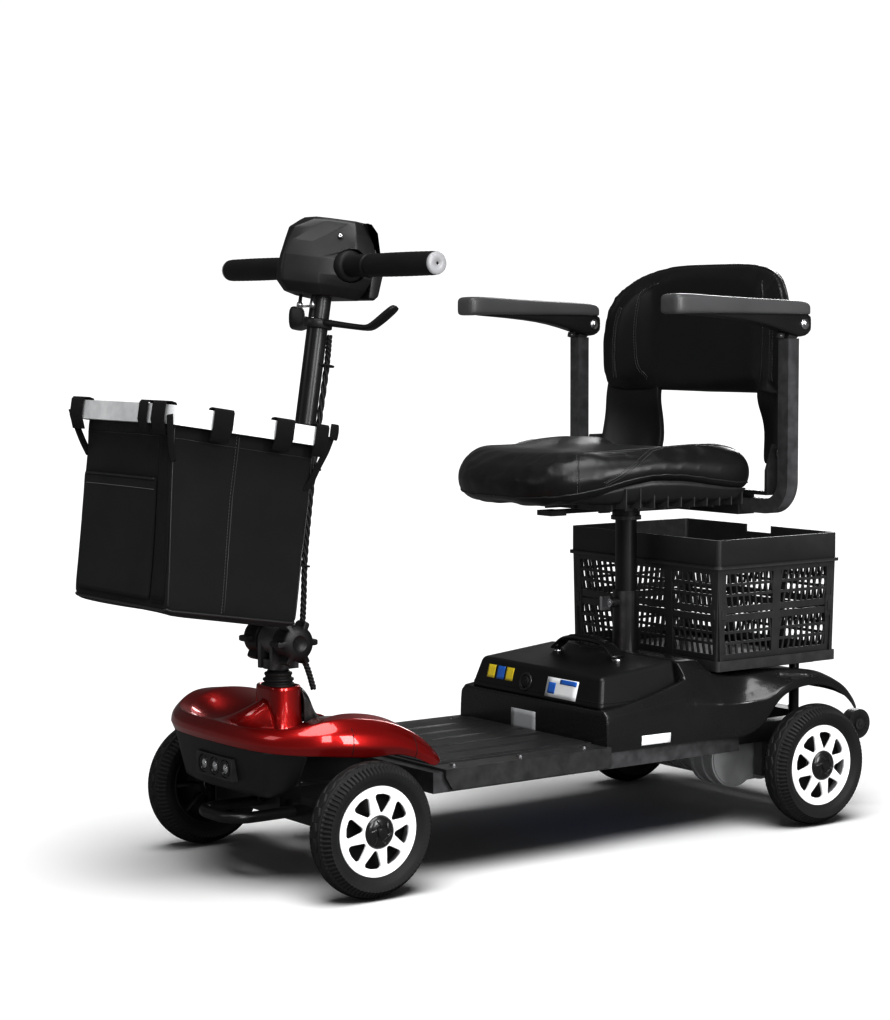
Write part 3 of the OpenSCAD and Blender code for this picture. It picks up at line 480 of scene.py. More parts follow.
def turned(name, origin, axis, profile, material, count=48, smooth=True):
    """A solid of revolution; profile is (distance along the axis, radius), in millimetres."""
    axis = axis.normalized()
    across = UP if abs(axis.z) < 0.9 else AHEAD
    across = (across - axis * across.dot(axis)).normalized()
    rows = [ring_points(origin + axis * (d * MM), axis, across, max(r, 0.05) * MM, count) for d,
            r in profile]
    return loft(name, rows, material, smooth)


def smooth_path(points, steps=8):
    """A Catmull-Rom curve through points."""
    ends = [points[0] * 2 - points[1], *points, points[-1] * 2 - points[-2]]
    path = []
    for i in range(1, len(ends) - 2):
        p0, p1, p2, p3 = ends[i - 1:i + 3]
        for s in range(steps):
            t = s / steps
            path.append(0.5 * (2 * p1 + (p2 - p0) * t + (2 * p0 - 5 * p1 + 4 * p2 - p3) * t * t
                               + (3 * p1 - p0 - 3 * p2 + p3) * t ** 3))
    return path + [points[-1].copy()]


def tube(name, points, radius, material, count=14, steps=8, flat=1.0, up=None):
    """A tube of radius millimetres through points; flat squashes it along the up direction."""
    path = smooth_path(points, steps) if steps else points
    rows = []
    side = None
    for i, p in enumerate(path):
        ahead = heading(path, i)
        if up is not None:
            side = ahead.cross(up).normalized()
        elif side is None:
            side = ahead.cross(UP if abs(ahead.z) < 0.9 else AHEAD).normalized()
        else:
            side = (side - ahead * side.dot(ahead)).normalized()
        rise = side.cross(ahead)
        rows.append([p + (side * math.cos(t) + rise * math.sin(t) * flat) * (radius * MM)
                     for t in turns(count)])
    return loft(name, rows, material)


def mirrored(piece, name):
    """A copy on the other side of the middle plane."""
    mesh = piece.data.copy()
    mesh.transform(Matrix.Scale(-1, 4, (0, 1, 0)))
    mesh.flip_normals()
    made = piece.copy()
    made.data = mesh
    made.name = name
    bpy.context.scene.collection.objects.link(made)
    return made


def mount(piece, body, slot, stands_for=None):
    """Fixes a piece to a body, and hides the CAD part that it stands in for; slot is not used."""
    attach(piece, body)
    if stands_for:
        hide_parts(stands_for)


def reflected(points):
    """The same places on the other side of the middle plane, in reverse order."""
    return [Vector((p.x, -p.y, p.z)) for p in reversed(points)]


def both_sides(piece, left_name, right_name, left_body, right_body):
    """The piece on the left body and its mirror image on the right one."""
    piece.name = left_name
    other = mirrored(piece, right_name)
    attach(piece, left_body)
    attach(other, right_body)
    return piece, other


def superellipse(count, power):
    """Points of a rounded square from -1 to 1, anticlockwise from +X."""
    def part(value):
        return math.copysign(abs(value) ** (2 / power), value)
    return [(part(math.cos(t)), part(math.sin(t))) for t in turns(count)]


def inflate(piece, voxel, pressure, cap, frames=20, held=None):
    """Puffs or drapes soft goods with a cloth simulation; no point moves over cap millimetres."""
    if voxel:
        modify(piece, "REMESH", mode="VOXEL", voxel_size=voxel * MM)
        apply_all(piece)
    before = [v.co.copy() for v in piece.data.vertices]
    if held is not None:
        group = piece.vertex_groups.new(name="held")
        group.add([i for i, p in enumerate(before) if held(p)], 1.0, "REPLACE")
    cloth = modify(piece, "CLOTH")
    cloth.settings.use_pressure = True
    cloth.settings.uniform_pressure_force = pressure
    cloth.settings.effector_weights.gravity = 0.0 if held is None else 1.0
    cloth.settings.quality = 4
    cloth.settings.tension_stiffness = 22
    cloth.settings.compression_stiffness = 22
    if held is not None:
        cloth.settings.vertex_group_mass = "held"
    cloth.point_cache.frame_end = frames
    for step in range(1, frames + 1):
        bpy.context.scene.frame_set(step)
    graph = bpy.context.evaluated_depsgraph_get()
    mesh = bpy.data.meshes.new_from_object(piece.evaluated_get(graph))
    piece.modifiers.clear()
    piece.data = mesh
    for vertex, start in zip(mesh.vertices, before):
        move = vertex.co - start
        if move.length > cap * MM:
            vertex.co = start + move.normalized() * (cap * MM)
    bpy.context.scene.frame_set(1)
    return piece


def surface_of(piece):
    """A tree that finds the nearest place on a piece's present surface."""
    graph = bpy.context.evaluated_depsgraph_get()
    graph.update()
    return BVHTree.FromObject(piece, graph)


def finish_soft(piece, passes):
    """Smooths and bakes a simulated piece, and gives the tree of its surface."""
    modify(piece, "SMOOTH", factor=0.5, iterations=passes)
    subdivide(piece, 1)
    apply_all(piece)
    piece.data.shade_smooth()
    return surface_of(piece)


def seam(name, tree, points, radius, material, lift=0.2, steps=10):
    """Piping or thread that lies on a surface along a path."""
    path = []
    for p in smooth_path(points, steps):
        place, normal, _, _ = tree.find_nearest(p)
        path.append(place + normal * (lift * MM))
    return tube(name, path, radius, material, count=8, steps=0)


def stitches(name, tree, points, offset, pitch=5.0, length=3.2):
    """A row of short stitches that lie on a surface, beside a seam."""
    path = smooth_path(points, 24)
    made = []
    travelled, due = 0.0, 0.0
    for a, b in zip(path, path[1:]):
        step = (b - a).length
        while step > 0 and due <= travelled + step:
            place, normal, _, _ = tree.find_nearest(a.lerp(b, (due - travelled) / step))
            along = (b - a).normalized()
            beside = normal.cross(along).normalized()
            middle = place + beside * (offset * MM) + normal * (0.25 * MM)
            half = along * (length * MM / 2)
            made.append((middle - half, middle + half, beside, normal))
            due += pitch * MM
        travelled += step
    points, faces = [], []
    for start, end, beside, normal in made:
        base = len(points)
        for p in (start, start.lerp(end, 0.5) + normal * (0.35 * MM), end):
            points += [p - beside * (0.4 * MM), p + normal * (0.4 * MM), p + beside * (0.4 * MM)]
        faces += [(base, base + 1, base + 4, base + 3), (base + 1, base + 2, base + 5, base + 4),
                  (base + 3, base + 4, base + 7, base + 6), (base + 4, base + 5, base + 8, base + 7),
                  (base, base + 3, base + 6, base + 8, base + 5, base + 2),
                  (base, base + 2, base + 1), (base + 6, base + 7, base + 8)]
    return add_mesh(name, points, faces, THREAD)


# ---- wheels --------------------------------------------------------------------------------

SEGMENTS = 336
RIBS = 84


def tread_depth(index, across):
    """How deep the tread is cut, in millimetres, at one place round and across a tyre."""
    per_rib = SEGMENTS // RIBS
    if abs(across) > 13.5:
        return 2.9 if index % per_rib in (0, 1) and abs(across) < 24.6 else 0.0
    if 11.0 < abs(across) < 12.8:
        return 2.2
    period = 3 * per_rib
    zigzag = abs(index % period - period / 2) / period * 4 - 1
    middles = (-5.6 + 2.0 * zigzag, 5.6 - 2.0 * zigzag)
    return 2.0 if min(abs(across - middle) for middle in middles) < 1.3 else 0.0


def tyre(wheel):
    """A solid black tyre with shoulder ribs and two zigzag grooves."""
    low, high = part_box(f"{wheel}_tyre")
    middle = (low + high) / 2
    radius = (high.z - low.z) / 2 / MM
    half = (high.y - low.y) / 2 / MM
    bead = radius - 33
    crown = []
    for i in range(45):
        angle = math.radians(-84 + 168 * i / 44)
        crown.append((radius - 14 + 14 * math.cos(angle),
                      (half - 10) * angle / math.radians(84) + 10 * math.sin(angle)))
    side = [(bead, half - 9), (bead + 4, half - 6), (bead + 5.5, half - 5.6), (bead + 9, half - 2.4),
            (bead + 13, half - 0.8)]
    profile = [(r, -w) for r, w in side] + crown + [(r, w) for r, w in reversed(side)]
    rows = []
    for i in range(SEGMENTS):
        turn = 2 * math.pi * i / SEGMENTS
        row = []
        for r, w in profile:
            deep = tread_depth(i, w) if r > radius - 13 else 0.0
            reach = (r - deep) * MM
            row.append(middle + Vector((math.cos(turn) * reach, w * MM, math.sin(turn) * reach)))
        rows.append(row)
    made = sheet(f"{wheel}_tread", rows, TYRE_RUBBER, wrap_rows=True, wrap_columns=True)
    crisp(made, 38)
    mount(made, f"{wheel}_wheel", "tyre", f"{wheel}_tyre")


def ring(name, origin, axis, profile, material, count=72):
    """A hoop of revolution; profile is a closed loop of (distance along the axis, radius), in mm."""
    across = (UP - axis * axis.z).normalized()
    rows = [ring_points(origin + axis * (d * MM), axis, across, r * MM, count) for d, r in profile]
    return sheet(name, rows, material, wrap_rows=True, wrap_columns=True)


def hull(points):
    """The convex outline round some places in a plane."""
    halves = []
    for ordered in (sorted(points), sorted(points, reverse=True)):
        half = []
        for p in ordered:
            while len(half) > 1 and ((half[-1][0] - half[-2][0]) * (p[1] - half[-2][1])
                                     <= (half[-1][1] - half[-2][1]) * (p[0] - half[-2][0])):
                half.pop()
            half.append(p)
        halves += half[:-1]
    return halves


def pierced_plate(name, outlines, thick, rounding, material):
    """A flat plate, in millimetres in its own plane, with holes and rounded edges."""
    curve = bpy.data.curves.new(name, "CURVE")
    curve.dimensions = "2D"
    curve.fill_mode = "BOTH"
    curve.extrude = (thick / 2 - rounding) * MM
    curve.bevel_depth = rounding * MM
    curve.bevel_resolution = 3
    for outline in outlines:
        spline = curve.splines.new("POLY")
        spline.points.add(len(outline) - 1)
        spline.use_cyclic_u = True
        for point, (x, y) in zip(spline.points, outline):
            point.co = (x * MM, y * MM, 0, 1)
    made = bpy.data.objects.new(name, curve)
    bpy.context.scene.collection.objects.link(made)
    mesh = bpy.data.meshes.new_from_object(made)
    bpy.data.objects.remove(made)
    made = bpy.data.objects.new(name, mesh)
    bpy.context.scene.collection.objects.link(made)
    mesh.materials.clear()
    mesh.materials.append(material)
    return made


def spoked_face(name, middle, out):
    """The dished white face of a rim: eight spokes between rounded windows."""
    def circle(radius, x=0.0, y=0.0, count=20):
        return [(x + radius * math.cos(t), y + radius * math.sin(t)) for t in turns(count)]
    window = hull(circle(5.0, 30.0) + circle(5.8, 46.5, 8.6) + circle(5.8, 46.5, -8.6) + circle(9, 44.6))
    outlines = [circle(61.0, count=96)]
    for k in range(8):
        turn = math.radians(45 * k + 11)
        outlines.append([(x * math.cos(turn) - y * math.sin(turn), x * math.sin(turn) + y * math.cos(turn))
                         for x, y in window])
    made = pierced_plate(name, outlines, 6.0, 1.5, WHITE)
    modify(made, "REMESH", mode="VOXEL", voxel_size=1.1 * MM)
    modify(made, "SMOOTH", factor=0.5, iterations=3)
    apply_all(made)
    for vertex in made.data.vertices:
        reach = min(1.0, vertex.co.xy.length / (61 * MM))
        lift = 0.0035 * math.sin(math.pi * reach) - 0.002 * reach
        vertex.co = middle + Vector((vertex.co.x, out * (0.0145 + lift + vertex.co.z), vertex.co.y))
    fix_normals(made)
    made.data.shade_smooth()
    return made


def rim(wheel):
    """A white spoked rim with a barrel behind its face, and a black inner disc with ribs."""
    middle = centre(f"{wheel}_tyre")
    out = 1 if middle.y > 0 else -1
    axis = Vector((0, out, 0))
    face = spoked_face(f"{wheel}_rim_face", middle, out)
    barrel = ring(f"{wheel}_rim_barrel", middle, axis,
                  [(-4, 58), (10, 57.5), (14, 58.5), (16, 60.2), (17.6, 60.9), (18.4, 62), (18, 63),
                   (15, 63.4), (-4, 63)], WHITE)
    back = ring(f"{wheel}_rim_back", middle, axis,
                [(-5, 12), (-2, 14), (-3.5, 24), (-4, 58), (-4.5, 63), (-16, 63.2), (-17.6, 62.4),
                 (-18, 61.2), (-17, 59.6), (-9, 56), (-7, 25), (-14, 22), (-15, 12)], PLASTIC)
    ribs = []
    for k in range(8):
        turn = math.radians(45 * k)
        ray = spoke(turn)
        ribs.append(tube("rib", [middle + ray * 0.019 - axis * 0.012, middle + ray * 0.058 - axis * 0.0095],
                         3.0, PLASTIC, count=10, steps=0, flat=1.6, up=axis))
    low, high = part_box(f"{wheel}_rim")
    reach = (high.y - low.y) / MM - 24
    ribs.append(turned("stub", middle, axis, [(-reach, 8.5), (-reach + 1, 9.5), (-16, 9.5), (-14, 12),
                                              (8, 12)], CAST, 32))
    ribbing = join(f"{wheel}_rim_ribs", ribs)
    for piece, slot in ((face, "wheel_white"), (barrel, "wheel_white"), (back, "black_plastic"),
                        (ribbing, "black_plastic")):
        mount(piece, f"{wheel}_wheel", slot)
    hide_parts(f"{wheel}_rim")


def hub_cap(wheel):
    """The domed black cap over a wheel's hub, with a bolt and low fins."""
    middle = centre(f"{wheel}_tyre")
    out = 1 if middle.y > 0 else -1
    axis = Vector((0, out, 0))
    profile = [(10, 24), (17, 24), (21.5, 23), (24.6, 19.8), (26.2, 14.6), (26.8, 11), (26, 10.4), (26, 7),
               (28, 6.4), (28.4, 5), (28.4, 0)]
    pieces = [turned("cap", middle, axis, profile, GLOSS_BLACK, 48)]
    for k in range(6):
        turn = math.radians(60 * k + 8)
        ray, next_ray = spoke(turn), spoke(turn + 0.35)
        path = [middle + ray * 0.0205 + axis * 0.0208, middle + ray * 0.016 + axis * 0.0253,
                middle + next_ray * 0.0105 + axis * 0.0268]
        pieces.append(tube("fin", path, 1.5, GLOSS_BLACK, count=8, steps=4))
    made = join(f"{wheel}_hub_cap", pieces)
    crisp(made, 40)
    mount(made, f"{wheel}_wheel", "black_plastic")


# ---- front body ----------------------------------------------------------------------------

# One side of the front cover, from its nose to its tail: lip, lower edge, bulge, crown, inner edge,
# bowl and inner wall, each (ahead, left, up).
FRONT_STATIONS = [
    [(541, 0, 199), (545, 0, 208), (544, 0, 220), (537, 0, 229.5), (522, 0, 231), (498, 0, 238),
     (452, 0, 258)],
    [(541, 14, 199), (545, 14, 208), (544, 14, 220), (537, 14, 229.5), (524, 14, 228), (500, 16, 226),
     (450, 18, 242)],
    [(540.5, 30, 199), (544.5, 30, 208), (543.5, 30, 220), (536.5, 30, 229), (524, 32, 222), (500, 34, 209),
     (452, 26, 216)],
    [(538, 78, 198.5), (542, 78, 208), (541, 78, 220), (533, 78, 229), (520, 76, 220), (494, 72, 204),
     (450, 33, 211)],
    [(530, 122, 198), (534, 124, 208), (533, 123, 220), (525, 119, 230), (511, 112, 222), (484, 98, 204),
     (442, 36, 211)],
    [(515, 152, 197.5), (518, 156, 208), (517, 155, 221), (508, 147, 232), (494, 136, 226), (470, 112, 206),
     (430, 37, 212)],
    [(494, 176, 197), (496, 181, 208), (495, 180, 224), (486, 168, 238), (474, 150, 234), (455, 122, 212),
     (420, 37, 214)],
    [(468, 194, 196.5), (469, 199, 210), (468, 197, 229), (462, 180, 244), (455, 156, 243), (440, 128, 226),
     (410, 38, 218)],
    [(436, 203, 193), (436, 207, 208), (436, 204, 228), (434, 184, 245), (430, 158, 248), (425, 130, 238),
     (400, 40, 222)],
    [(400, 205, 189), (399, 209, 204), (399, 206, 225), (398, 186, 241), (396, 158, 246), (394, 128, 240),
     (388, 42, 226)],
    [(360, 200, 191), (358, 207, 201), (358, 205, 216), (358, 187, 232), (358, 158, 238), (360, 126, 234),
     (364, 50, 219)],
    [(325, 201, 181), (322, 204.5, 190), (322, 202, 201), (322, 186, 216), (324, 158, 222), (328, 124, 221),
     (335, 55, 212)],
    [(300, 199, 167), (295, 200, 175), (294, 197, 187), (296, 184, 198), (300, 160, 203), (308, 124, 206),
     (315, 57, 208)],
    [(288, 194, 165), (280, 192, 169), (278, 188, 176), (281, 178, 184), (288, 158, 190), (300, 124, 196),
     (308, 58, 202)]]


def crease_columns(piece, columns, creases, across=()):
    """Keeps lines of an open sheet crisp when it is subdivided: creases by column, and across by row."""
    work = bmesh.new()
    work.from_mesh(piece.data)
    layer = work.edges.layers.float.get("crease_edge") or work.edges.layers.float.new("crease_edge")
    for edge in work.edges:
        a, b = (vertex.index for vertex in edge.verts)
        if a % columns == b % columns and a % columns in creases:
            edge[layer] = creases[a % columns]
        elif a // columns == b // columns and a // columns in across:
            edge[layer] = across[a // columns]
    work.to_mesh(piece.data)
    work.free()


def front_cover():
    """The red horseshoe cover: a nose ridge, two wheel arches and the bowls between them."""
    left = [[at(*p) for p in station] for station in FRONT_STATIONS]
    right = [[at(x, -y, z) for x, y, z in station] for station in reversed(FRONT_STATIONS[1:])]
    made = sheet("front_cover_shell", right + left, RED)
    crease_columns(made, 7, {1: 0.75, 3: 0.8, 4: 0.7})
    subdivide(made, 3)
    thicken(made, 2.5)
    tree = surface_of(made)
    mount(made, "chassis", "red_gloss")
    pieces = []
    for side in (1, -1):
        for x, low, high in ((437, 196, 232), (330, 176, 214)):
            line = [at(x, side * 207, low), at(x - 2, side * 206, (low + high) / 2),
                    at(x - 4, side * 196, high)]
            pieces.append(seam("parting", tree, line, 0.6, BLACK_AND_HOLE_SHADE, -0.1))
    lines = join("front_cover_joints", pieces)
    mount(lines, "chassis", "black_plastic")


def valance():
    """The black skirt under the nose, with chamfered ends and a lip that turns under."""
    rows = [[(538, 0, 199), (537.5, 30, 199), (535, 77, 198.5), (528, 126, 198), (512, 152, 197.5),
             (489, 174, 197)],
            [(536, 0, 192), (535.5, 30, 192), (533, 76, 191), (526, 124, 191), (509, 147, 190),
             (487, 166, 190)],
            [(529, 0, 158), (529, 30, 158), (527, 72, 158), (521, 119, 159), (504, 136, 163),
             (483, 148, 168)],
            [(524, 0, 132), (524, 30, 132), (523.5, 66, 132), (517, 113, 134), (500, 128, 142),
             (481, 136, 153)],
            [(520, 0, 128), (520, 30, 128), (519, 64, 128), (512, 110, 130), (496, 124, 138),
             (479, 131, 150)],
            [(500, 0, 127), (500, 30, 127), (499, 62, 127), (496, 101, 129), (485, 117, 137),
             (471, 125, 148)]]
    left = [[at(*p) for p in row] for row in rows]
    whole = [reflected(row[1:]) + row for row in left]
    made = sheet("front_valance_shell", whole, PLASTIC)
    crease_columns(made, 11, {1: 0.85, 9: 0.85, 2: 0.8, 8: 0.8}, {3: 0.8})
    subdivide(made, 2)
    thicken(made, 2.5)
    mount(made, "chassis", "black_plastic", "front_valance")
    wheel_well_liners()


def wheel_well_liners():
    """The black sheets between the skirt and the front wheels."""
    edges = ((118, ((350, 206), (400, 214), (450, 210), (488, 198))),
             (113, ((352, 176), (400, 178), (450, 178), (482, 176))),
             (112, ((356, 148), (400, 146), (450, 146), (476, 150))))
    for side, word in SIDES:
        rows = [[at(x, side * y, z) for x, z in edge] for y, edge in edges]
        inner = sheet(f"wheel_well_liner_{word}", rows, PLASTIC)
        subdivide(inner, 2)
        thicken(inner, 2.0)
        mount(inner, "chassis", "black_plastic")


def lamps():
    """Three chrome reflectors behind the headlight's dark lens, in a moulded bezel."""
    low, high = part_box("headlight_lenses")
    middle = (low + high) / 2
    cups, dots = [], []
    for y in (-29, 0, 29):
        place = Vector((high.x, y * MM, middle.z))
        cups.append(ring("cup", place, AHEAD, [(0.2, 10.6), (1.6, 11.4), (2.2, 11), (2.2, 10), (0.9, 8.5),
                                               (0.2, 7)], GLOSS_BLACK, 40))
        dots.append(turned("cup", place, AHEAD, [(-0.5, 6.6), (0.9, 6.6), (1.1, 5.8), (0.4, 4.6),
                                                 (0.3, 2.4), (1.2, 1.8), (1.5, 0)],
                           CHROME, 36))
    bezel, reflectors = join("headlight_bezels", cups), join("headlight_reflectors", dots)
    for piece, slot in ((bezel, "black_plastic"), (reflectors, "lens")):
        crisp(piece, 35)
        mount(piece, "chassis", slot)


def rounded_ring(level, middle_x, half_x, half_y, radius, count=8):
    """A rounded rectangle of places at one height."""
    ring = []
    for quarter, (sx, sy) in enumerate(((1, 1), (-1, 1), (-1, -1), (1, -1))):
        for i in range(count):
            angle = math.pi / 2 * (quarter + i / (count - 1))
            ring.append(at(middle_x + sx * (half_x - radius) + radius * math.cos(angle),
                           sy * (half_y - radius) + radius * math.sin(angle), level))
    return ring


def column_collar():
    """The red turret that the steering column comes out of, with its black top plate and rings."""
    levels = [(203, 29, 41), (207, 27.6, 38.6), (214, 26, 37), (226, 25.3, 35.4), (264, 25, 34),
              (268.6, 24.6, 33.6), (270, 23.6, 32.6), (270, 21, 30), (266, 20.5, 29.5)]
    rows = [rounded_ring(z, 428, hx, hy, min(19, hx - 3)) for z, hx, hy in levels]
    made = sheet("column_collar", rows, RED, wrap_columns=True)
    plate = loft("column_plate", [rounded_ring(z, 428, 20.6 - i, 29.6 - i, 17) for z, i in
                                  ((262, 0), (267, 0), (268, 1))], PLASTIC)
    shaft = Vector((HINGE.x, 0, 0))
    rings = turned("column_bellows", shaft, UP,
                   [(264, 23), (270, 23.4), (272, 22.6), (272.6, 20.5), (275, 20.4), (276.6, 22.4),
                    (279, 22.2), (280.4, 19), (283, 18.6), (285, 20.2), (287.4, 19.8), (289, 16.4),
                    (291, 15.4)], SOFT_RUBBER, 56)
    for piece, slot in ((made, "red_gloss"), (plate, "black_plastic"), (rings, "grip_rubber")):
        mount(piece, "chassis", slot)
    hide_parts("front_shroud")


def star_knobs():
    """The hinge bolt and its two star knobs: a round boss with six square prongs."""
    pieces = [turned("bolt", HINGE - Vector((0, 0.05, 0)), LEFT, [(0, 6), (100, 6)], ZINC, 24)]
    profile = ((24, 20, 0), (25, 23.5, 0), (29, 24.5, 0), (30.4, 24.5, 0.92), (32, 25, 1), (51, 25, 1),
               (53.4, 25, 0.9), (54.6, 24, 0.3), (56, 22, 0), (58, 17, 0), (58.4, 12, 0), (56.5, 9, 0),
               (56.3, 0.1, 0))
    for s in (1, -1):
        rows = []
        for d, boss, prong in profile:
            reaches = [boss + 9 * prong * eased(0.5, 0.8, math.cos(math.pi * i / 12)) for i in range(144)]
            rows.append([HINGE + Vector((math.cos(math.pi * i / 72) * reach * MM, s * d * MM,
                                         math.sin(math.pi * i / 72) * reach * MM)) for i,
                         reach in enumerate(reaches)])
        pieces.append(loft("knob", rows, PLASTIC))
    made = join("tiller_star_knobs", pieces)
    crisp(made, 35)
    mount(made, "tiller_knobs", "black_plastic", "tiller_knobs")


def rear_column_cover():
    """The black hump behind the collar, which slopes down to the floor."""
    rows = []
    for x, half, top, base in ((406, 34, 270, 205), (398, 34.5, 268, 205), (394, 35, 258, 205),
                               (390, 38, 238, 204), (382, 44, 226, 204), (372, 48, 218, 203),
                               (355, 52, 213, 202), (330, 55, 209, 201), (300, 57, 206, 200)):
        row = []
        for i in range(15):
            angle = math.pi * i / 14
            wide = half * max(-1, min(1, 1.1 * math.cos(angle)))
            row.append(at(x, wide, base + (top - base) * math.sin(angle) ** 0.36))
        rows.append(row)
    made = sheet("rear_column_cover", rows, PLASTIC)
    subdivide(made, 2)
    thicken(made, 2.5)
    mount(made, "chassis", "black_plastic", "column_cover")


# ---- rear body -----------------------------------------------------------------------------

# Half sections of the rear cover, front to back: how far ahead, then (left, up) of the bottom edge, side,
# middle, lower and upper edge of the ledge, crease, shoulder, ridge and middle line.
REAR_SECTIONS = [
    (-31.5, [(183, 147), (183, 147.4), (182, 147.8), (181, 148), (180, 148.3), (172, 148.6), (160, 149),
             (150, 149), (0, 149)]),
    (-31.8, [(184, 147), (184.5, 158), (184, 172), (183, 186), (181.5, 197), (173, 205), (160, 205.5),
             (150, 205.5), (0, 205.5)]),
    (-34, [(184.5, 147), (185.5, 160), (185, 175), (184, 190), (182.5, 200), (174, 208), (160, 207.5),
           (150, 207), (0, 207)]),
    (-72, [(186, 147), (188, 160), (187.5, 176), (186.5, 192), (185, 204), (175, 213), (165, 212.5),
           (163, 207), (0, 207)]),
    (-135, [(188, 147), (190.5, 160), (189.5, 180), (188, 196), (186.5, 209), (174, 225), (165, 224.5),
            (163, 212), (0, 207)]),
    (-186, [(189.5, 147), (192, 161), (191, 184), (190, 203), (188, 215), (173, 239), (164, 238.5),
            (162, 222), (0, 207)]),
    (-196, [(190, 147), (192.5, 161), (192, 184), (191.5, 204), (188, 216), (172.5, 241), (163, 246),
            (158, 236), (0, 210)]),
    (-198, [(190, 147), (192.5, 161), (192, 184), (191.5, 204), (188, 216.5), (172.5, 241.5), (161, 256),
            (150, 266), (0, 268)]),
    (-206, [(190, 147), (193, 161), (193, 185), (193, 205), (188.5, 216), (172, 243.5), (161, 257.5),
            (150, 268), (0, 270)]),
    (-238, [(192, 147), (196, 161), (196, 184), (197, 203), (190, 214), (171.5, 249), (161, 259),
            (150, 267), (0, 269)]),
    (-247, [(193, 147), (197, 161), (198, 184), (200, 202), (191, 213.5), (171.5, 250), (160, 256),
            (148, 262), (0, 264)]),
    (-252, [(193, 147), (198, 161), (199, 184), (201, 202), (192, 213), (172, 247), (160, 243), (148, 241),
            (0, 241)]),
    (-268, [(194, 146), (199, 160), (201, 183), (203, 201), (193, 213), (174, 243), (158, 241.5),
            (140, 241), (0, 241)]),
    (-292, [(196, 145), (202, 160), (205, 183), (209, 202), (195, 214), (178, 239), (158, 240),
            (140, 240.5), (0, 240.5)]),
    (-312, [(204, 152), (211, 165), (215, 186), (219, 205), (200, 219), (181, 239), (158, 240.5),
            (140, 240.5), (0, 240.5)]),
    (-325, [(219, 172), (222, 182), (225, 194), (227, 208), (208, 224), (184, 240), (158, 241),
            (140, 240.5), (0, 240.5)]),
    (-340, [(231, 210), (233, 213), (233, 218), (231, 222), (213, 230), (187, 241), (158, 241),
            (140, 240.5), (0, 240.5)]),
    (-380, [(232, 222), (234, 225), (233, 230), (230, 234), (214, 239), (190, 243.5), (160, 242),
            (140, 241), (0, 240.5)]),
    (-427, [(232, 223), (234, 227), (233, 231), (229, 235), (213, 238.5), (190, 241.5), (160, 240),
            (140, 238.5), (0, 238)]),
    (-465, [(232, 209), (234, 214), (232, 220), (227, 225), (211, 230), (188, 234), (160, 234), (140, 233),
            (0, 232)]),
    (-494, [(231, 188), (232, 193), (229, 200), (222, 207), (206, 213), (184, 221), (158, 222), (140, 222),
            (0, 221)]),
    (-510, [(224, 176), (225, 182), (221, 189), (213, 195), (198, 201), (178, 207), (156, 209), (140, 209),
            (0, 209)]),
    (-516, [(221, 172), (221, 177), (217, 183), (209, 189), (194, 193), (174, 197), (152, 199), (136, 199),
            (0, 199)])]


def rear_cover():
    """The black rear body: battery well in front, a hump behind it, and wheel arches."""
    rows = []
    for x, half in REAR_SECTIONS:
        side = [at(x, y, z) for y, z in half]
        rows.append([Vector((p.x, -p.y, p.z)) for p in side[:-1]] + [side[-1]] + list(reversed(side[:-1])))
    made = sheet("rear_cover_shell", rows, GLOSS_BLACK)
    crease_columns(made, 17, {3: 0.5, 13: 0.5, 4: 0.55, 12: 0.55, 5: 0.7, 11: 0.7, 7: 0.7, 9: 0.7},
                   {1: 0.7, 2: 0.6, 7: 0.6, 11: 0.8})
    subdivide(made, 3)
    thicken(made, 2.6)
    tree = surface_of(made)
    mount(made, "chassis", "body_plastic", "rear_shroud")
    labels = [patch("side_label", tree, at(-124, 195, 159), Vector((-1, 0, 0)), UP, 56, 16, LABEL_WHITE),
              patch("well_label", tree, at(-20, -19, 170), LEFT, UP, 62, 34, LABEL_GREY)]
    for label in labels:
        mount(label, "chassis", "body_plastic")


# ---- battery -------------------------------------------------------------------------------

def patch(name, tree, middle, across, up, width, height, material, lift=0.35):
    """A thin sticker, width by height millimetres, laid on a surface round a place."""
    columns, rows = 7, 5
    grid = []
    for j in range(rows):
        row = []
        for i in range(columns):
            sideways = middle + across * ((i / (columns - 1) - 0.5) * width * MM)
            place, normal, _, _ = tree.find_nearest(sideways + up * ((j / (rows - 1) - 0.5) * height * MM))
            row.append(place + normal * (lift * MM))
        grid.append(row)
    made = sheet(name, grid, material)
    return thicken(made, 0.25)


def battery():
    """The lift-out battery case, with its seam, handle strap, charge socket and plain labels."""
    side = ((-36, 163, 206.5), (-49, 150, 255), (-194, 149, 269), (-195, 162, 206.5))
    corners = [at(x, s * y, z) for s in (1, -1) for x, y, z in side]
    faces = [(3, 2, 1, 0), (4, 5, 6, 7), (0, 1, 5, 4), (1, 2, 6, 5), (2, 3, 7, 6), (3, 0, 4, 7)]
    made = add_mesh("battery_shell", corners, faces, PLASTIC)
    soften(made, 7, 5)
    tree = surface_of(made)
    mount(made, "battery", "body_plastic", "battery_case")
    seam_line = [at(-196, -162, 217), at(-120, -162, 217), at(-44, -162, 217), at(-40, -150, 217),
                 at(-40, 0, 217), at(-40, 150, 217), at(-44, 162, 217), at(-120, 162, 217),
                 at(-196, 162, 217)]
    line = seam("battery_seam", tree, seam_line, 0.8, BLACK_AND_HOLE_SHADE, -0.2)
    mount(line, "battery", "black_plastic")
    battery_handle(tree)
    battery_socket(tree)
    battery_labels(tree)


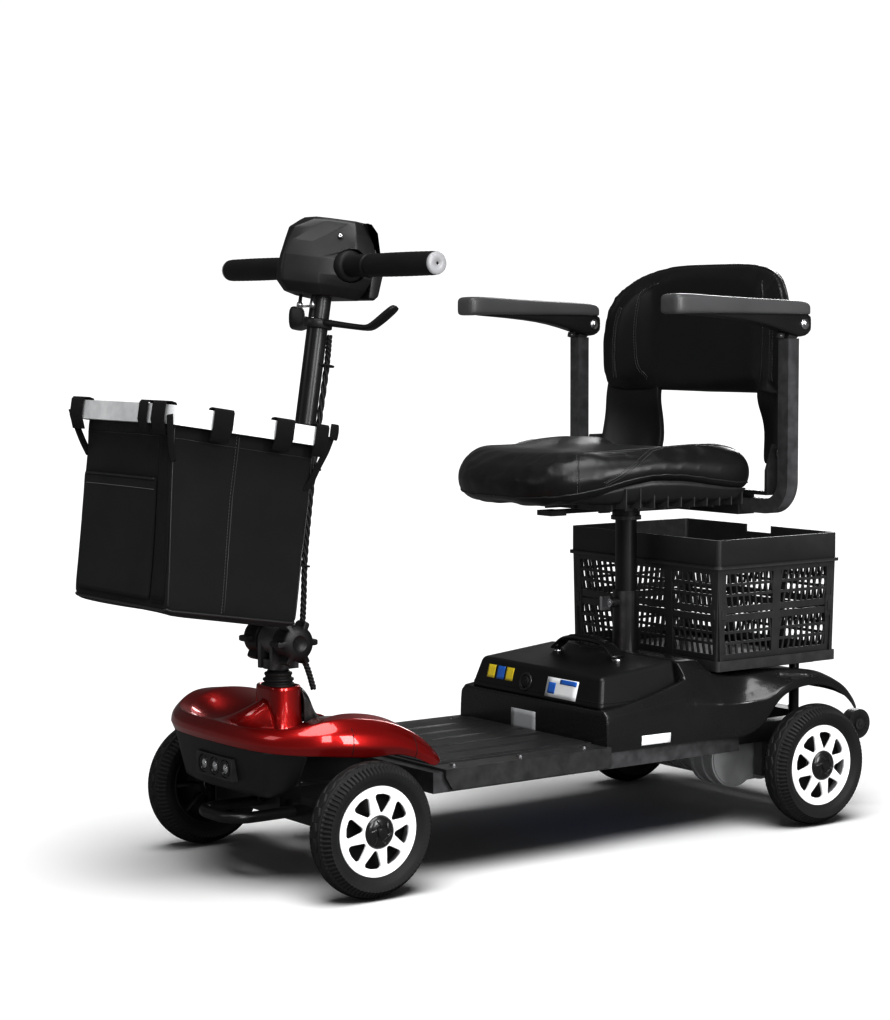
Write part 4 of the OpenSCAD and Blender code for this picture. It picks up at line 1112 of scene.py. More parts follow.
def battery_handle(tree):
    """A flat carrying strap with a moulded grip and two riveted feet."""
    low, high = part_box("battery_handle")
    middle = (low + high) / 2
    half = (high.y - low.y) / 2
    path = [Vector((middle.x, s * half * k, low.z + (high.z - low.z) * h))
            for s, k, h in ((-1, 1.0, 0.1), (-1, 0.9, 0.32), (-1, 0.68, 0.78), (-1, 0.4, 0.94),
                            (1, 0.0, 0.97), (1, 0.4, 0.94), (1, 0.68, 0.78), (1, 0.9, 0.32), (1, 1.0, 0.1))]
    strap = tube("battery_strap", path, 12.5, GLOSS_BLACK, count=16, flat=0.26, up=UP)
    grip = tube("battery_grip", [Vector((middle.x, s * half * 0.5, low.z + (high.z - low.z) * h)) for s,
                                 h in
                                 ((-1, 0.88), (-0.5, 0.97), (0, 1.0), (0.5, 0.97), (1, 0.88))],
                9.5, SOFT_RUBBER, count=20, flat=0.55, up=UP)
    feet = []
    for s in (-1, 1):
        place, normal, _, _ = tree.find_nearest(Vector((middle.x, s * half * 0.97, low.z)))
        feet.append(turned("foot", place, normal, [(-2, 8), (2.5, 8), (4, 6.5), (4.5, 3), (4.6, 0)], ZINC,
                           24))
    rivets = join("battery_rivets", feet)
    for piece, slot in ((strap, "black_plastic"), (grip, "grip_rubber"), (rivets, "zinc_steel")):
        mount(piece, "battery", slot)
    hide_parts("battery_handle")


def battery_socket(tree):
    """The charge socket in the battery's front, with a rubber flap and a ring."""
    place, normal, _, _ = tree.find_nearest(at(-45, -26, 228))
    ring = turned("charge_socket", place, normal,
                  [(-3, 15), (1.5, 15), (2.5, 13.8), (2.5, 10.5), (0.5, 10), (0.5, 0)], GLOSS_BLACK, 36)
    flap = turned("charge_flap", place, normal, [(0.4, 9.2), (2.4, 9), (3.2, 7.8), (3.6, 4), (3.6, 0)],
                  SOFT_RUBBER, 36)
    for piece in (ring, flap):
        mount(piece, "battery", "black_plastic")
    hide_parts("charge_port")


def battery_labels(tree):
    """Plain coloured labels with no lettering."""
    up = Vector((-0.26, 0, 1)).normalized()
    spots = [("label_yellow", -116, 239, 19, 21, LABEL_YELLOW),
             ("label_blue", -92, 239, 19, 21, LABEL_BLUE),
             ("label_pale", -69, 239, 19, 21, LABEL_YELLOW), ("label_white", 64, 231, 76, 31, LABEL_WHITE),
             ("label_header", 78, 242, 40, 7, LABEL_BLUE), ("label_mark", 40, 230, 17, 17, LABEL_BLUE)]
    for name, y, z, wide, tall, material in spots:
        lift = 0.35 if name not in ("label_header", "label_mark") else 0.8
        made = patch(name, tree, at(-30, y, z), LEFT, up, wide, tall, material, lift)
        mount(made, "battery", "body_plastic")


# ---- floor ---------------------------------------------------------------------------------

# Distance from one groove of the mat to the next, and how deep they are, in millimetres.
MAT_PITCH, MAT_RISE = 45.0, 2.6


def ribbed_mat():
    """The rubber floor mat: broad flat bands from front to back, parted by grooves."""
    low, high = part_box("floor_mat")
    pitch, rise = MAT_PITCH * MM, MAT_RISE * MM
    base = high.z - rise
    half = min(-low.y, high.y)
    ribs = int(2 * half / pitch)
    ends = [low.x, low.x + 6 * MM, low.x + 9 * MM, high.x - 9 * MM, high.x - 6 * MM, high.x]
    rows = []
    for i, x in enumerate(ends):
        tall = 0.0 if i in (0, 1, 4, 5) else 1.0
        row = [Vector((x, -half, low.z)), Vector((x, -half, base))]
        for k in range(ribs):
            y = -half + (k + 0.5) * 2 * half / ribs
            row += [Vector((x, y - 0.44 * pitch, base)), Vector((x, y - 0.38 * pitch, base + rise * tall)),
                    Vector((x, y + 0.38 * pitch, base + rise * tall)), Vector((x, y + 0.44 * pitch, base))]
        row += [Vector((x, half, base)), Vector((x, half, low.z))]
        rows.append(row)
    made = loft("floor_mat_ribs", rows, MAT_RUBBER)
    crisp(made, 30)
    mount(made, "chassis", "mat_rubber", "floor_mat")


# ---- rear crate ----------------------------------------------------------------------------

class Wall:
    """One side of the crate: places along it, up it and out of it."""

    def __init__(self, corner, along, out, length, base, top):
        self.corner, self.along, self.out = corner, along, out
        self.length, self.base, self.top = length, base, top
        self.pieces = []

    def place(self, s, z, depth):
        taper = (self.top - z) * 0.035
        flat = self.corner + self.along * (s * MM) + self.out * ((depth - taper) * MM)
        return flat + Vector((0, 0, z * MM))

    def slat(self, a, b, width, near, far):
        """A bar between two (along, up) places, width across, from near to far out of the wall."""
        run = Vector((b[0] - a[0], b[1] - a[1]))
        side = Vector((-run.y, run.x)).normalized() * (width / 2)
        points = []
        for depth in (near, far):
            for end in (a, b):
                for s in (-1, 1):
                    points.append(self.place(end[0] + side.x * s, end[1] + side.y * s, depth))
        self.pieces.append(points)


def crate_wall(wall, columns):
    """The lattice of one side: two rows of framed panels with slanted bars, parted by a fold seam."""
    mid = (wall.base + wall.top) / 2
    for z, width in ((wall.base + 5, 10), (mid - 6.5, 11), (mid + 6.5, 11), (wall.top - 5, 10)):
        wall.slat((0, z), (wall.length, z), width, -5.5, 0)
    cell = wall.length / columns
    for i in range(columns + 1):
        s = min(max(i * cell, 8), wall.length - 8)
        wall.slat((s, wall.base), (s, wall.top), 17, -5.5, 0.4)
    for low, high in ((wall.base + 10, mid - 12), (mid + 12, wall.top - 10)):
        for i in range(columns):
            first, last = max(i * cell + 8.5, 16), min((i + 1) * cell - 8.5, wall.length - 16)
            bars = max(3, round((last - first) / 12.5))
            for k in range(bars + 1):
                s = first + (last - first) * k / bars
                lean = 4.5 if i % 2 else -4.5
                wall.slat((s - lean, low - 1), (s + lean, high + 1), 3.6, -4.2, -0.8)
            for share in (0.34, 0.67):
                z = low + (high - low) * share
                wall.slat((first - 4, z), (last + 4, z), 4.6, -4.4, -0.6)
    for s in (11, wall.length - 11):
        wall.slat((s, mid - 17), (s, mid + 17), 15, -2, 1.8)
        wall.slat((s, mid - 8), (s, mid + 8), 8, 0, 3.4)


def crate():
    """The folding crate's lattice walls, with its CAD rim and base kept."""
    low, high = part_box("crate_panels")
    base, top = low.z / MM - 1, high.z / MM + 1
    inset = 0.5 * MM
    length, width = (high.x - low.x) / MM, (high.y - low.y) / MM
    walls = [Wall(Vector((low.x, high.y + inset, 0)), AHEAD, LEFT, length, base, top),
             Wall(Vector((low.x, low.y - inset, 0)), AHEAD, Vector((0, -1, 0)), length, base, top),
             Wall(Vector((high.x + inset, low.y, 0)), LEFT, AHEAD, width, base, top),
             Wall(Vector((low.x - inset, low.y, 0)), LEFT, Vector((-1, 0, 0)), width, base, top)]
    names = ("crate_wall_left", "crate_wall_right", "crate_wall_front", "crate_wall_rear")
    for name, wall, columns in zip(names, walls, (2, 2, 3, 3)):
        crate_wall(wall, columns)
        points, faces = [], []
        for corners in wall.pieces:
            faces += [tuple(len(points) + i for i in face) for face in BOX_FACES]
            points += corners
        made = add_mesh(name, points, faces, CRATE_PLASTIC)
        soften(made, 0.7, 2)
        mount(made, "chassis", "black_plastic")
        if name == "crate_wall_left":
            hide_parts("crate_panels")


# ---- seat ----------------------------------------------------------------------------------

# Half width of the seat cushion, at places along it from the nose back.
SEAT_WIDTHS = [(51, 0), (50, 40), (46, 70), (39, 95), (26, 119), (8, 140), (-20, 157), (-50, 169),
               (-100, 184), (-150, 195), (-200, 204), (-250, 211), (-285, 212), (-304, 206), (-313, 186),
               (-317, 150), (-318, 0)]
# Height of the lower edge of its side, at the same kind of places.
SEAT_EDGE = [(52, 511), (26, 514), (-3, 520), (-41, 529), (-80, 541), (-124, 549), (-180, 547), (-259, 535),
             (-318, 531)]


SEAT_MIDDLE = -130


def shrunk(x, share):
    """How far ahead a place on the seat is when the seat's outline is shrunk to a share."""
    return SEAT_MIDDLE + (x - SEAT_MIDDLE) * share


def between(table, value):
    """The value that a table of (place, value) pairs has at a place, by straight lines."""
    table = sorted(table)
    if value <= table[0][0]:
        return table[0][1]
    for (a, first), (b, second) in zip(table, table[1:]):
        if value <= b:
            return first + (second - first) * (value - a) / (b - a)
    return table[-1][1]


def eased(low, high, value):
    """0 below low and 1 above high, smoothly between."""
    t = min(1.0, max(0.0, (value - low) / (high - low)))
    return t * t * (3 - 2 * t)


def seat_outline(count=96):
    """Places round the seat cushion's edge, with the left side first."""
    left = smooth_path([Vector((x, y, 0)) for x, y in SEAT_WIDTHS], 5)
    ring = left + [Vector((p.x, -p.y, 0)) for p in reversed(left[1:-1])]
    total = sum((b - a).length for a, b in zip(ring, ring[1:] + ring[:1]))
    places, due, travelled = [], 0.0, 0.0
    for a, b in zip(ring, ring[1:] + ring[:1]):
        step = (b - a).length
        while due < travelled + step and len(places) < count:
            places.append(a.lerp(b, (due - travelled) / step))
            due += total / count
        travelled += step
    return places


def seat_top(x, y):
    """Height of the cushion's top: level, with low bolsters to the rear and a nose that rolls over."""
    bolster = eased(85, 150, abs(y)) * (1 - eased(172, 212, abs(y)) * 0.5)
    nose = max(0.0, (x + 50) / 102)
    return 590 + 7 * bolster * eased(-60, -240,
                                     x) - 22 * nose ** 2.2 - 4 * (1 - bolster) * eased(-20, -140, x)


def seat_cushion():
    """The upholstered seat: a crowned form with bolsters, a thick rolled nose, piping and seams."""
    outline = seat_outline()
    rows = []
    for share, height in ((0.3, -0.03), (0.78, -0.02), (0.92, 0.0), (0.975, 0.1), (0.995, 0.28), (1.0, 0.5),
                          (0.99, 0.7), (0.965, 0.86), (0.92, 0.97), (0.84, 1.0), (0.7, 1.0), (0.5, 1.0),
                          (0.3, 1.0), (0.12, 1.0)):
        row = []
        for p in outline:
            roll = eased(-40, 50, p.x)
            tuck = share if height > 0.6 else share - 0.035 * roll * max(0, 0.5 - height)
            x, y = shrunk(p.x, tuck), p.y * tuck
            edge = between(SEAT_EDGE, p.x)
            base = 523 + (edge - 523) * (eased(0.7, 0.97, share) if height < 0.5 else 1)
            row.append(at(x, y, base + (seat_top(x, y) - 2 - base) * height))
        rows.append(row)
    made = loft("seat_pad", rows, VINYL)
    inflate(made, 5.5, 3.0, 6)
    tree = finish_soft(made, 4)
    mount(made, "seat", "vinyl", "seat_cushion")
    seat_seams(tree)


def seat_seams(tree):
    """Piping along the lower edge, a seam round the top panel, and a twin seam up each bolster."""
    welts, lines = [], []
    lower = [at(shrunk(p.x, 1.02), p.y * 1.02, between(SEAT_EDGE, p.x) + 4) for p in seat_outline(44)]
    welts.append(seam("welt", tree, lower + lower[:1], 1.5, PIPING, 0.1, 6))
    for s in (1, -1):
        top = [at(x, s * y, z) for x, y, z in
               ((-8, 150, 528), (-12, 142, 545), (-19, 130, 566), (-32, 121, 582), (-60, 117, 596),
                (-95, 121, 600), (-125, 136, 602), (-150, 150, 604), (-185, 160, 606), (-250, 170, 606),
                (-308, 176, 604))]
        lines.append(seam("line", tree, top, 1.1, PIPING, -0.1))
        lines.append(stitches("stitch", tree, top, 3.2))
        rise = [at(x, s * y, z) for x, y, z in
                ((-43, 176, 542), (-60, 174, 554), (-82, 170, 566), (-112, 166, 577), (-136, 160, 590),
                 (-160, 158, 602))]
        lines.append(seam("line", tree, rise, 1.0, PIPING, -0.1))
        lines += [stitches("stitch", tree, rise, offset, 4.0, 3.0) for offset in (-3.2, 3.2)]
    welt, sewn = join("seat_lower_welt", welts), join("seat_stitching", lines)
    for piece in (welt, sewn):
        mount(piece, "seat", "vinyl")


def seat_tray():
    """The ribbed plastic pan under the cushion, whose rim follows the cushion's lower edge."""
    outline = [Vector((min(p.x, shrunk(p.x, 0.72)), p.y, 0)) for p in seat_outline(72)]
    rows = []
    for share, z, rise in ((0.45, 522, 0), (0.88, 522, 0), (0.945, 524, 1), (0.957, 524, 1),
                           (0.95, 518, 0.75), (0.93, 514, 0.25), (0.86, 513.5, 0), (0.7, 514, 0),
                           (0.45, 514, 0)):
        rows.append([at(shrunk(p.x, share), p.y * share,
                        z + (between(SEAT_EDGE, p.x) + 1 - z) * rise * eased(60, -20, p.x))
                     for p in outline])
    pan = sheet("seat_tray", rows, PLASTIC, wrap_rows=True, wrap_columns=True)
    mount(pan, "seat", "black_plastic")
    mount(join("seat_tray_ribs", tray_ribs()), "seat", "black_plastic")


def tray_ribs():
    """Ribs along and across the pan, kept clear of the swivel lever, and short ones at its sides."""
    ribs = []
    for k in range(-3, 4):
        ahead = -208 if k == -1 else -60 - abs(k) * 18
        ribs.append(block("rib", at(-285, k * 42 - 1.6, 501), at(ahead, k * 42 + 1.6, 516), PLASTIC, 0.6))
    for k in range(5):
        x = -270 + k * 46
        half = between(SEAT_WIDTHS, x) * 0.72
        spans = ((-half, -60), (-4, half)) if -210 < x < -60 else ((-half, half),)
        for low, high in spans:
            ribs.append(block("rib", at(x - 1.6, low, 501.5), at(x + 1.6, high, 516), PLASTIC, 0.6))
    for x in range(-290, -60, 23):
        for s in (1, -1):
            half = between(SEAT_WIDTHS, x)
            low, high = sorted((s * half * 0.80, s * half * 0.935))
            ribs.append(block("rib", at(x - 1.3, low, 508), at(x + 1.3, high, between(SEAT_EDGE, x) - 3),
                              PLASTIC, 0.5))
    return ribs


# ---- backrest ------------------------------------------------------------------------------

# Height of the backrest's top edge, and of its bottom edge, at places out from its middle.
BACK_TOP = [(0, 884), (60, 884), (95, 882), (130, 877), (158, 867), (182, 852), (200, 832), (211, 808),
            (218, 782), (222, 758), (224, 738)]
BACK_FOOT = [(0, 669), (185, 670), (204, 675), (214, 685), (220, 700), (224, 718)]


def back_depth(y, z):
    """How far ahead the front of the backrest is at a place on it."""
    wing = eased(110, 232, abs(y))
    return -388 + 44 * wing - 6 * eased(780, 884, z)


def pillow_faces(rows, columns):
    """Faces of a front grid, a rear grid stored after it, and the band that joins their edges."""
    half = rows * columns
    faces = grid_faces(rows, columns)
    faces += [tuple(half + i for i in reversed(face)) for face in grid_faces(rows, columns)]
    edge = list(range(columns)) + [j * columns + columns - 1 for j in range(1, rows)]
    edge += [(rows - 1) * columns + i for i in range(columns - 2, -1, -1)]
    edge += [j * columns for j in range(rows - 2, 0, -1)]
    for a, b in zip(edge, edge[1:] + edge[:1]):
        faces.append((b, a, a + half, b + half))
    return faces


def back_cushion():
    """The backrest pad: rounded at its top corners, and wrapped forward at its wings."""
    columns, rows_up = 48, 18
    front, rear = [], []
    for j in range(rows_up):
        t = math.sin((-1 + 2 * j / (rows_up - 1)) * math.pi / 2)
        near, far = [], []
        for i in range(columns):
            s = math.sin((-1 + 2 * i / (columns - 1)) * math.pi / 2)
            y = 223 * s
            low, high = between(BACK_FOOT, abs(y)), between(BACK_TOP, abs(y))
            z = low + (high - low) * (t + 1) / 2
            plump = (max(0.0, 1 - abs(s) ** 6) * max(0.0, 1 - abs(t) ** 6)) ** 0.35
            x = back_depth(y, z)
            thick = 34 - 7 * eased(60, 200, abs(y))
            near.append(at(x - 8 * (1 - plump), y, z))
            far.append(at(x - 9 - (thick - 9) * (0.25 + 0.75 * plump), y, z))
        front.append(near)
        rear.append(far)
    points = [p for row in front + rear for p in row]
    made = add_mesh("backrest_pad", points, pillow_faces(rows_up, columns), VINYL)
    inflate(made, 5.5, 3.0, 5)
    tree = finish_soft(made, 4)
    mount(made, "backrest", "vinyl", "backrest_cushion")
    back_seams(tree)


def back_seams(tree):
    """A curved seam and a stitched one at each wing, and piping round the edge."""
    lines = []
    for s in (1, -1):
        upright = [at(-340, s * y, z) for y, z in ((122, 680), (132, 710), (137, 750), (137, 790),
                                                   (131, 835), (120, 872))]
        lines.append(seam("line", tree, upright, 1.1, PIPING, -0.1))
        lines.append(stitches("stitch", tree, upright, -3.4 * s))
        outer = [at(-330, s * y, z) for y, z in ((186, 690), (190, 730), (188, 780), (178, 820))]
        lines.append(seam("line", tree, outer, 0.9, PIPING, -0.1))
        lines += [stitches("stitch", tree, outer, offset) for offset in (-3.2, 3.2)]
    sewn = join("backrest_stitching", lines)
    right = [(y, z + 8) for y, z in BACK_TOP[1:]] + [(y + 5, z - 4) for y, z in reversed(BACK_FOOT[2:])]
    edge = [at(-402 + 16 * eased(80, 224, y), s * y, z) for s,
            some in ((-1, reversed(right)), (1, right)) for y, z in some]
    piping = seam("backrest_piping", tree, edge, 1.8, PIPING, 0.3, 6)
    for piece in (sewn, piping):
        mount(piece, "backrest", "vinyl")


# Rows of one curved back leg, top to bottom: up, inner (ahead, left), outer (ahead, left).
LEG_ROWS = [(712, (-400, 117), (-370, 214)), (690, (-397, 118), (-366, 215)),
            (668, (-394, 119), (-362, 216)), (650, (-398, 122), (-361, 216)),
            (636, (-403, 124), (-360, 216)), (615, (-407, 125), (-356, 216)),
            (592, (-407, 124), (-351, 216)), (572, (-403, 127), (-345, 215.5)),
            (562, (-398, 134), (-342, 214))]


def back_shell():
    """The moulded shell behind the pad, with its legs and pivot bolts."""
    rows = []
    for z, wide in ((684, 203), (700, 210), (740, 215), (785, 206), (820, 188), (846, 162), (862, 136),
                    (870, 112)):
        rows.append([at(back_depth(y, z) - 34 + 6 * eased(60, 200, abs(y)) - 3, y, z)
                     for y in (wide * math.sin(math.pi / 2 * (-1 + 2 * i / 16)) for i in range(17))])
    panel = subdivide(thicken(sheet("backrest_panel", rows, PLASTIC), 4), 1)
    mount(panel, "backrest", "black_plastic", "backrest_shell")
    back_legs()
    recline_bolts()


def back_legs():
    """The curved legs that carry the shell, down to its pivots."""
    rows = []
    for z, inner, outer in LEG_ROWS:
        row = []
        for i in range(9):
            t = i / 8
            bow = math.sin(math.pi * t) * 7
            row.append(at(inner[0] + (outer[0] - inner[0]) * t ** 1.5 - bow,
                          inner[1] + (outer[1] - inner[1]) * t, z))
        rows.append(row)
    leg = sheet("backrest_leg", rows, PLASTIC)
    subdivide(leg, 1)
    thicken(leg, 11, 0)
    soften(leg, 3, 3, 50, False)
    for piece in both_sides(leg, "backrest_leg_left", "backrest_leg_right", "backrest", "backrest"):
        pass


def recline_bolts():
    """The bolts that the backrest turns on."""
    pivot = Vector(JOINTS["backrest_fold"]["pos_m"])
    profile = [(-14, 7), (0, 9), (0.4, 12.6), (1.5, 13), (2.3, 12.6), (2.4, 9), (7, 8.6), (8.4, 7),
               (9, 3.5), (9.1, 0)]
    for side, word in SIDES:
        place = Vector((pivot.x, side * 224 * MM, pivot.z))
        bolt = turned(f"recline_bolt_{word}", place, Vector((0, side, 0)), profile, ZINC, 40)
        mount(bolt, "backrest", "zinc_steel")


# ---- armrests ------------------------------------------------------------------------------

# The armrest pad from front to back: ahead, middle height, half height, half width.
ARM_SECTIONS = [(-88, 813, 7, 12), (-89.5, 813, 12, 17), (-92, 813.5, 14.5, 20), (-98, 814, 15.2, 22),
                (-110, 814.5, 15, 23), (-132, 814.5, 14.2, 23.6), (-175, 813, 13.2, 23.8),
                (-230, 811.5, 12.2, 23.8), (-290, 810, 11.4, 23.4), (-335, 809, 10.8, 22.6),
                (-350, 808, 10, 21.5), (-358, 806.5, 8.6, 19), (-363, 804, 6, 15), (-365, 802, 3, 10)]


def armrests():
    """Both flip-up armrests: a moulded pad with a thick front and a tapering bracket under it."""
    low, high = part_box("armrest_left")
    middle = (low.y + high.y) / 2 / MM
    rows = [[at(x, middle + y * wide, z + h * tall) for y, h in superellipse(32, 5.5)]
            for x, z, tall, wide in ARM_SECTIONS]
    # The pad's lighter grey colour is a painted highlight.
    pad = subdivide(loft("armrest_pad", rows, ARM_PLASTIC_PAINTED_HIGHLIGHT), 1)
    under = []
    for x, bottom, top, wide in ((-112, 799, 803, 10), (-150, 797, 804, 11), (-220, 791, 805, 12.5),
                                 (-270, 784, 805, 13.5), (-318, 771, 804, 14), (-333, 766, 804, 14),
                                 (-350, 763.5, 803, 14), (-362, 767, 800, 14), (-370, 777, 794, 13)):
        under.append([at(x, middle + y * wide, (top + bottom) / 2 + h * (top - bottom) / 2)
                      for y, h in superellipse(20, 5.5)])
    bracket = subdivide(loft("armrest_bracket", under, PLASTIC), 1)
    bolts, stop = armrest_fittings(middle)
    for piece, slot, stem in ((pad, "arm_pad", "pad"), (bracket, "black_plastic", "bracket"),
                              (bolts, "zinc_steel", "bolts"), (stop, "black_plastic", "stop")):
        names = [f"armrest_{stem}_left", f"armrest_{stem}_right"]
        left, right = both_sides(piece, *names, "armrest_left", "armrest_right")
        if stem == "pad":
            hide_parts("armrest_left")
            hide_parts("armrest_right")


def armrest_fittings(middle):
    """The left armrest's pivot bolts, and the stop screw that it rests on."""
    pivot = Vector(JOINTS["armrest_left_flip"]["pos_m"])
    profile = [(-3, 8), (1.5, 8.4), (2.4, 7.6), (2.5, 5), (4.6, 4.6), (5.4, 3), (5.6, 0)]
    bolts = []
    for s in (-1, 1):
        place = Vector((pivot.x, (middle + s * 13.5) * MM, pivot.z))
        bolts.append(turned("bolt", place, Vector((0, s, 0)), profile, ZINC, 32))
    stop = turned("armrest_stop", at(-316, middle, 776), Vector((0.2, 0, -1)),
                  [(-6, 4), (6, 4), (6.2, 6.5), (13, 6.5), (13.8, 5.6), (14, 0)], GLOSS_BLACK, 6)
    return join("armrest_bolts", bolts), stop


# ---- control head --------------------------------------------------------------------------

def carve(piece, cutters):
    """Cuts holes in a piece with temporary solids."""
    for cutter in cutters:
        modify(piece, "BOOLEAN", operation="DIFFERENCE", object=cutter, solver="EXACT")
    apply_all(piece)
    for cutter in cutters:
        bpy.data.objects.remove(cutter)
    return piece


# Half outlines of the head, from low to high: height, then (ahead, left) at its prow, hood, cheek, side
# and rear.
HEAD_LEVELS = [
    (496, (60, 6), (57, 9), (22, 36), (-10, 44), (-36, 43)),
    (510, (75, 6), (73, 9), (34, 40), (-8, 58), (-38, 56)),
    (526, (77, 5), (75, 8), (35, 41), (-6, 66), (-40, 65)),
    (547, (75, 4), (73, 7), (35, 40.5), (-6, 67), (-40, 66)),
    (570, (70, 5), (62, 11), (40, 22.5), (-6, 65.5), (-40, 63)),
    (588, (64, 8), (44, 21), (16, 37), (-7, 60), (-37, 58)),
    (602, (42, 17), (26, 30), (0, 46), (-9, 52), (-32, 51)),
    (607, (35, 15), (20, 29), (-5, 44), (-12, 48), (-29, 47))]


HEAD_ROUNDING = 1.6
# Where the handlebar's middle passes through the head, on the tiller.
BAR = (-4, 0, 541)


def screw_places():
    """The four screws in the head's cheeks: each one's place and the way it faces."""
    for u, y, w in ((15, 53, 582), (-2, 64, 531)):
        for s in (1, -1):
            yield on_tiller(u, s * y, w), (TILLER_AHEAD * 0.55 + Vector((0, s * 0.83, 0))).normalized()


def head_cutters():
    """The holes for the grips, and two screw pockets in each cheek."""
    axle = on_tiller(*BAR)
    made = [turned("grip_hole", axle + Vector((0, s * 0.05, 0)), Vector((0, s, 0)), [(0, 23), (40, 27)],
                   BLACK_AND_HOLE_SHADE, 48)
            for s in (1, -1)]
    for place, face in screw_places():
        made.append(turned("screw_hole", place, face, [(-7, 4.6), (12, 5.4)], BLACK_AND_HOLE_SHADE, 28))
    return made


def head_front():
    """The faceted front half of the head, with its holes and screws."""
    rows = []
    for w, *half in HEAD_LEVELS:
        rows.append([on_tiller(u, -y, w) for u, y in half]
                    + [on_tiller(u, y, w) for u, y in reversed(half)])
    front = loft("head_front", rows, HEAD_PLASTIC, smooth=False)
    soften(front, HEAD_ROUNDING, 3, 11, False)
    carve(front, head_cutters())
    front.data.shade_smooth()
    crisp(front, 16)
    profile = [(-1, 3.6), (1.2, 3.6), (2.2, 2.4), (2.3, 1.2), (1.2, 1), (1.2, 0)]
    screws = [turned("screw", place - face * 0.0065, face, profile, ZINC, 20) for place,
              face in screw_places()]
    mount(front, "tiller", "black_plastic", "head_shell")
    mount(join("head_screws", screws), "tiller", "zinc_steel")


def head_rear():
    """The sloping rear half of the head, which carries the dash."""
    outline = [(-41, 499), (-41, 596), (-29, 606.5), (-24, 606), (-65, 549), (-62, 540), (-58, 505),
               (-52, 499)]
    shape = []
    for y, pull in ((-61, 0.95), (-58, 1.0), (58, 1.0), (61, 0.95)):
        shape.append([on_tiller(-42 + (u + 42) * pull, y, 550 + (w - 550) * pull) for u, w in outline])
    dash = loft("head_rear", shape, HEAD_PLASTIC, smooth=False)
    soften(dash, HEAD_ROUNDING, 3, 12, False)
    dash.data.shade_smooth()
    apply_all(dash)
    crisp(dash, 20)
    mount(dash, "tiller", "black_plastic", "head_dash")


def head():
    """The two-part control head, with rubber boots where the grips leave it."""
    head_front()
    head_rear()
    profile = [(30, 0), (30, 22.6), (56, 22.6), (62, 22), (64, 20.4), (64.6, 17), (64.6, 0)]
    boots = [turned("boot", on_tiller(*BAR), Vector((0, s, 0)), profile, SOFT_RUBBER, 40) for s in (1, -1)]
    mount(join("head_grommets", boots), "tiller", "grip_rubber")
    dash_controls()


def on_dash(side, up, out=0.0):
    """A place on the dash's sloping face, with its normal and its uphill direction."""
    joint = JOINTS["speed_dial_turn"]
    normal = Vector(joint["axis"]).normalized()
    uphill = normal.cross(LEFT).normalized()
    if uphill.z < 0:
        uphill = -uphill
    origin = Vector(joint["pos_m"])
    return origin + Vector((0, (side - 30) * MM,
                            0)) + uphill * ((up - 10) * MM) + normal * (out * MM), normal, uphill


def dash_controls():
    """Everything on the dash: the dial and its ticks, the key surround and the battery gauge."""
    dial_ticks()
    place, normal, _ = on_dash(-34, 8)
    profile = [(-1, 13), (1.6, 13), (2.4, 12), (2.4, 9.8), (0.6, 9.6), (0.6, 0)]
    mount(turned("key_surround", place, normal, profile, ZINC, 40), "tiller", "zinc_steel")
    battery_gauge()
    dial_knob()


def dial_ticks():
    """Pale marks round the speed dial, with every fifth one longer."""
    place, normal, uphill = on_dash(30, 10, 1.2)
    marks = []
    for k in range(11):
        angle = math.radians(-135 + 27 * k)
        ray = uphill * math.cos(angle) + LEFT * math.sin(angle)
        ends = [place + ray * 0.0185, place + ray * (0.0215 + 0.001 * (k % 5 == 0))]
        marks.append(tube("tick", ends, 0.45, LABEL_WHITE, count=6, steps=0, up=normal.cross(ray)))
    mount(join("dial_ticks", marks), "tiller", "black_plastic")


def battery_gauge():
    """A dark window with five small lamps."""
    place, normal, uphill = on_dash(-6, 27, 0.9)
    outline = [place + uphill * (du * MM) + LEFT * (dy * MM) for du,
               dy in ((-6, -19), (-6, 19), (6, 19), (6, -19))]
    levels = [[p - normal * 0.002 for p in outline], [p + normal * 0.0012 for p in outline]]
    window = loft("gauge_window", levels, GLOSS_BLACK)
    soften(window, 0.7, 3)
    lamps = []
    for k, colour in enumerate((LABEL_YELLOW, LABEL_YELLOW, LABEL_BLUE, LABEL_BLUE, LABEL_BLUE)):
        spot = place + LEFT * ((-12 + 6 * k) * MM) + normal * 0.0011
        lamps.append(turned("lamp", spot, normal, [(-0.5, 1.7), (0.6, 1.7), (1.1, 1.1), (1.2, 0)], colour,
                            16))
    mount(window, "tiller", "black_plastic")
    mount(join("gauge_lamps", lamps), "tiller", "lens")


def dial_knob():
    """The speed dial's ribbed knob and its pointer."""
    place, normal, _ = on_dash(30, 10)
    rows = []
    for d, r, rib in ((1.0, 15.2, 0), (2.2, 16.2, 0), (3.4, 15.2, 1), (12.0, 14.2, 1), (13.2, 13.0, 0.4),
                      (13.6, 10, 0), (13.2, 8, 0), (13.2, 0.1, 0)):
        middle = place + normal * (d * MM)
        row = []
        for i, p in enumerate(ring_points(middle, normal, LEFT, 1, 120)):
            reach = (r + rib * (1.2 if i % 5 in (0, 1) else -0.3)) * MM
            row.append(middle + (p - middle) * reach)
        rows.append(row)
    knob = loft("dial_knob", rows, GLOSS_BLACK)
    crisp(knob, 35)
    pointer = tube("dial_pointer", [on_dash(30, 12, 13.5)[0], on_dash(30, 21.5, 13.4)[0]], 0.8, LABEL_WHITE,
                   8, 0)
    mount(knob, "speed_dial", "black_plastic", "speed_dial")
    mount(pointer, "speed_dial", "black_plastic")


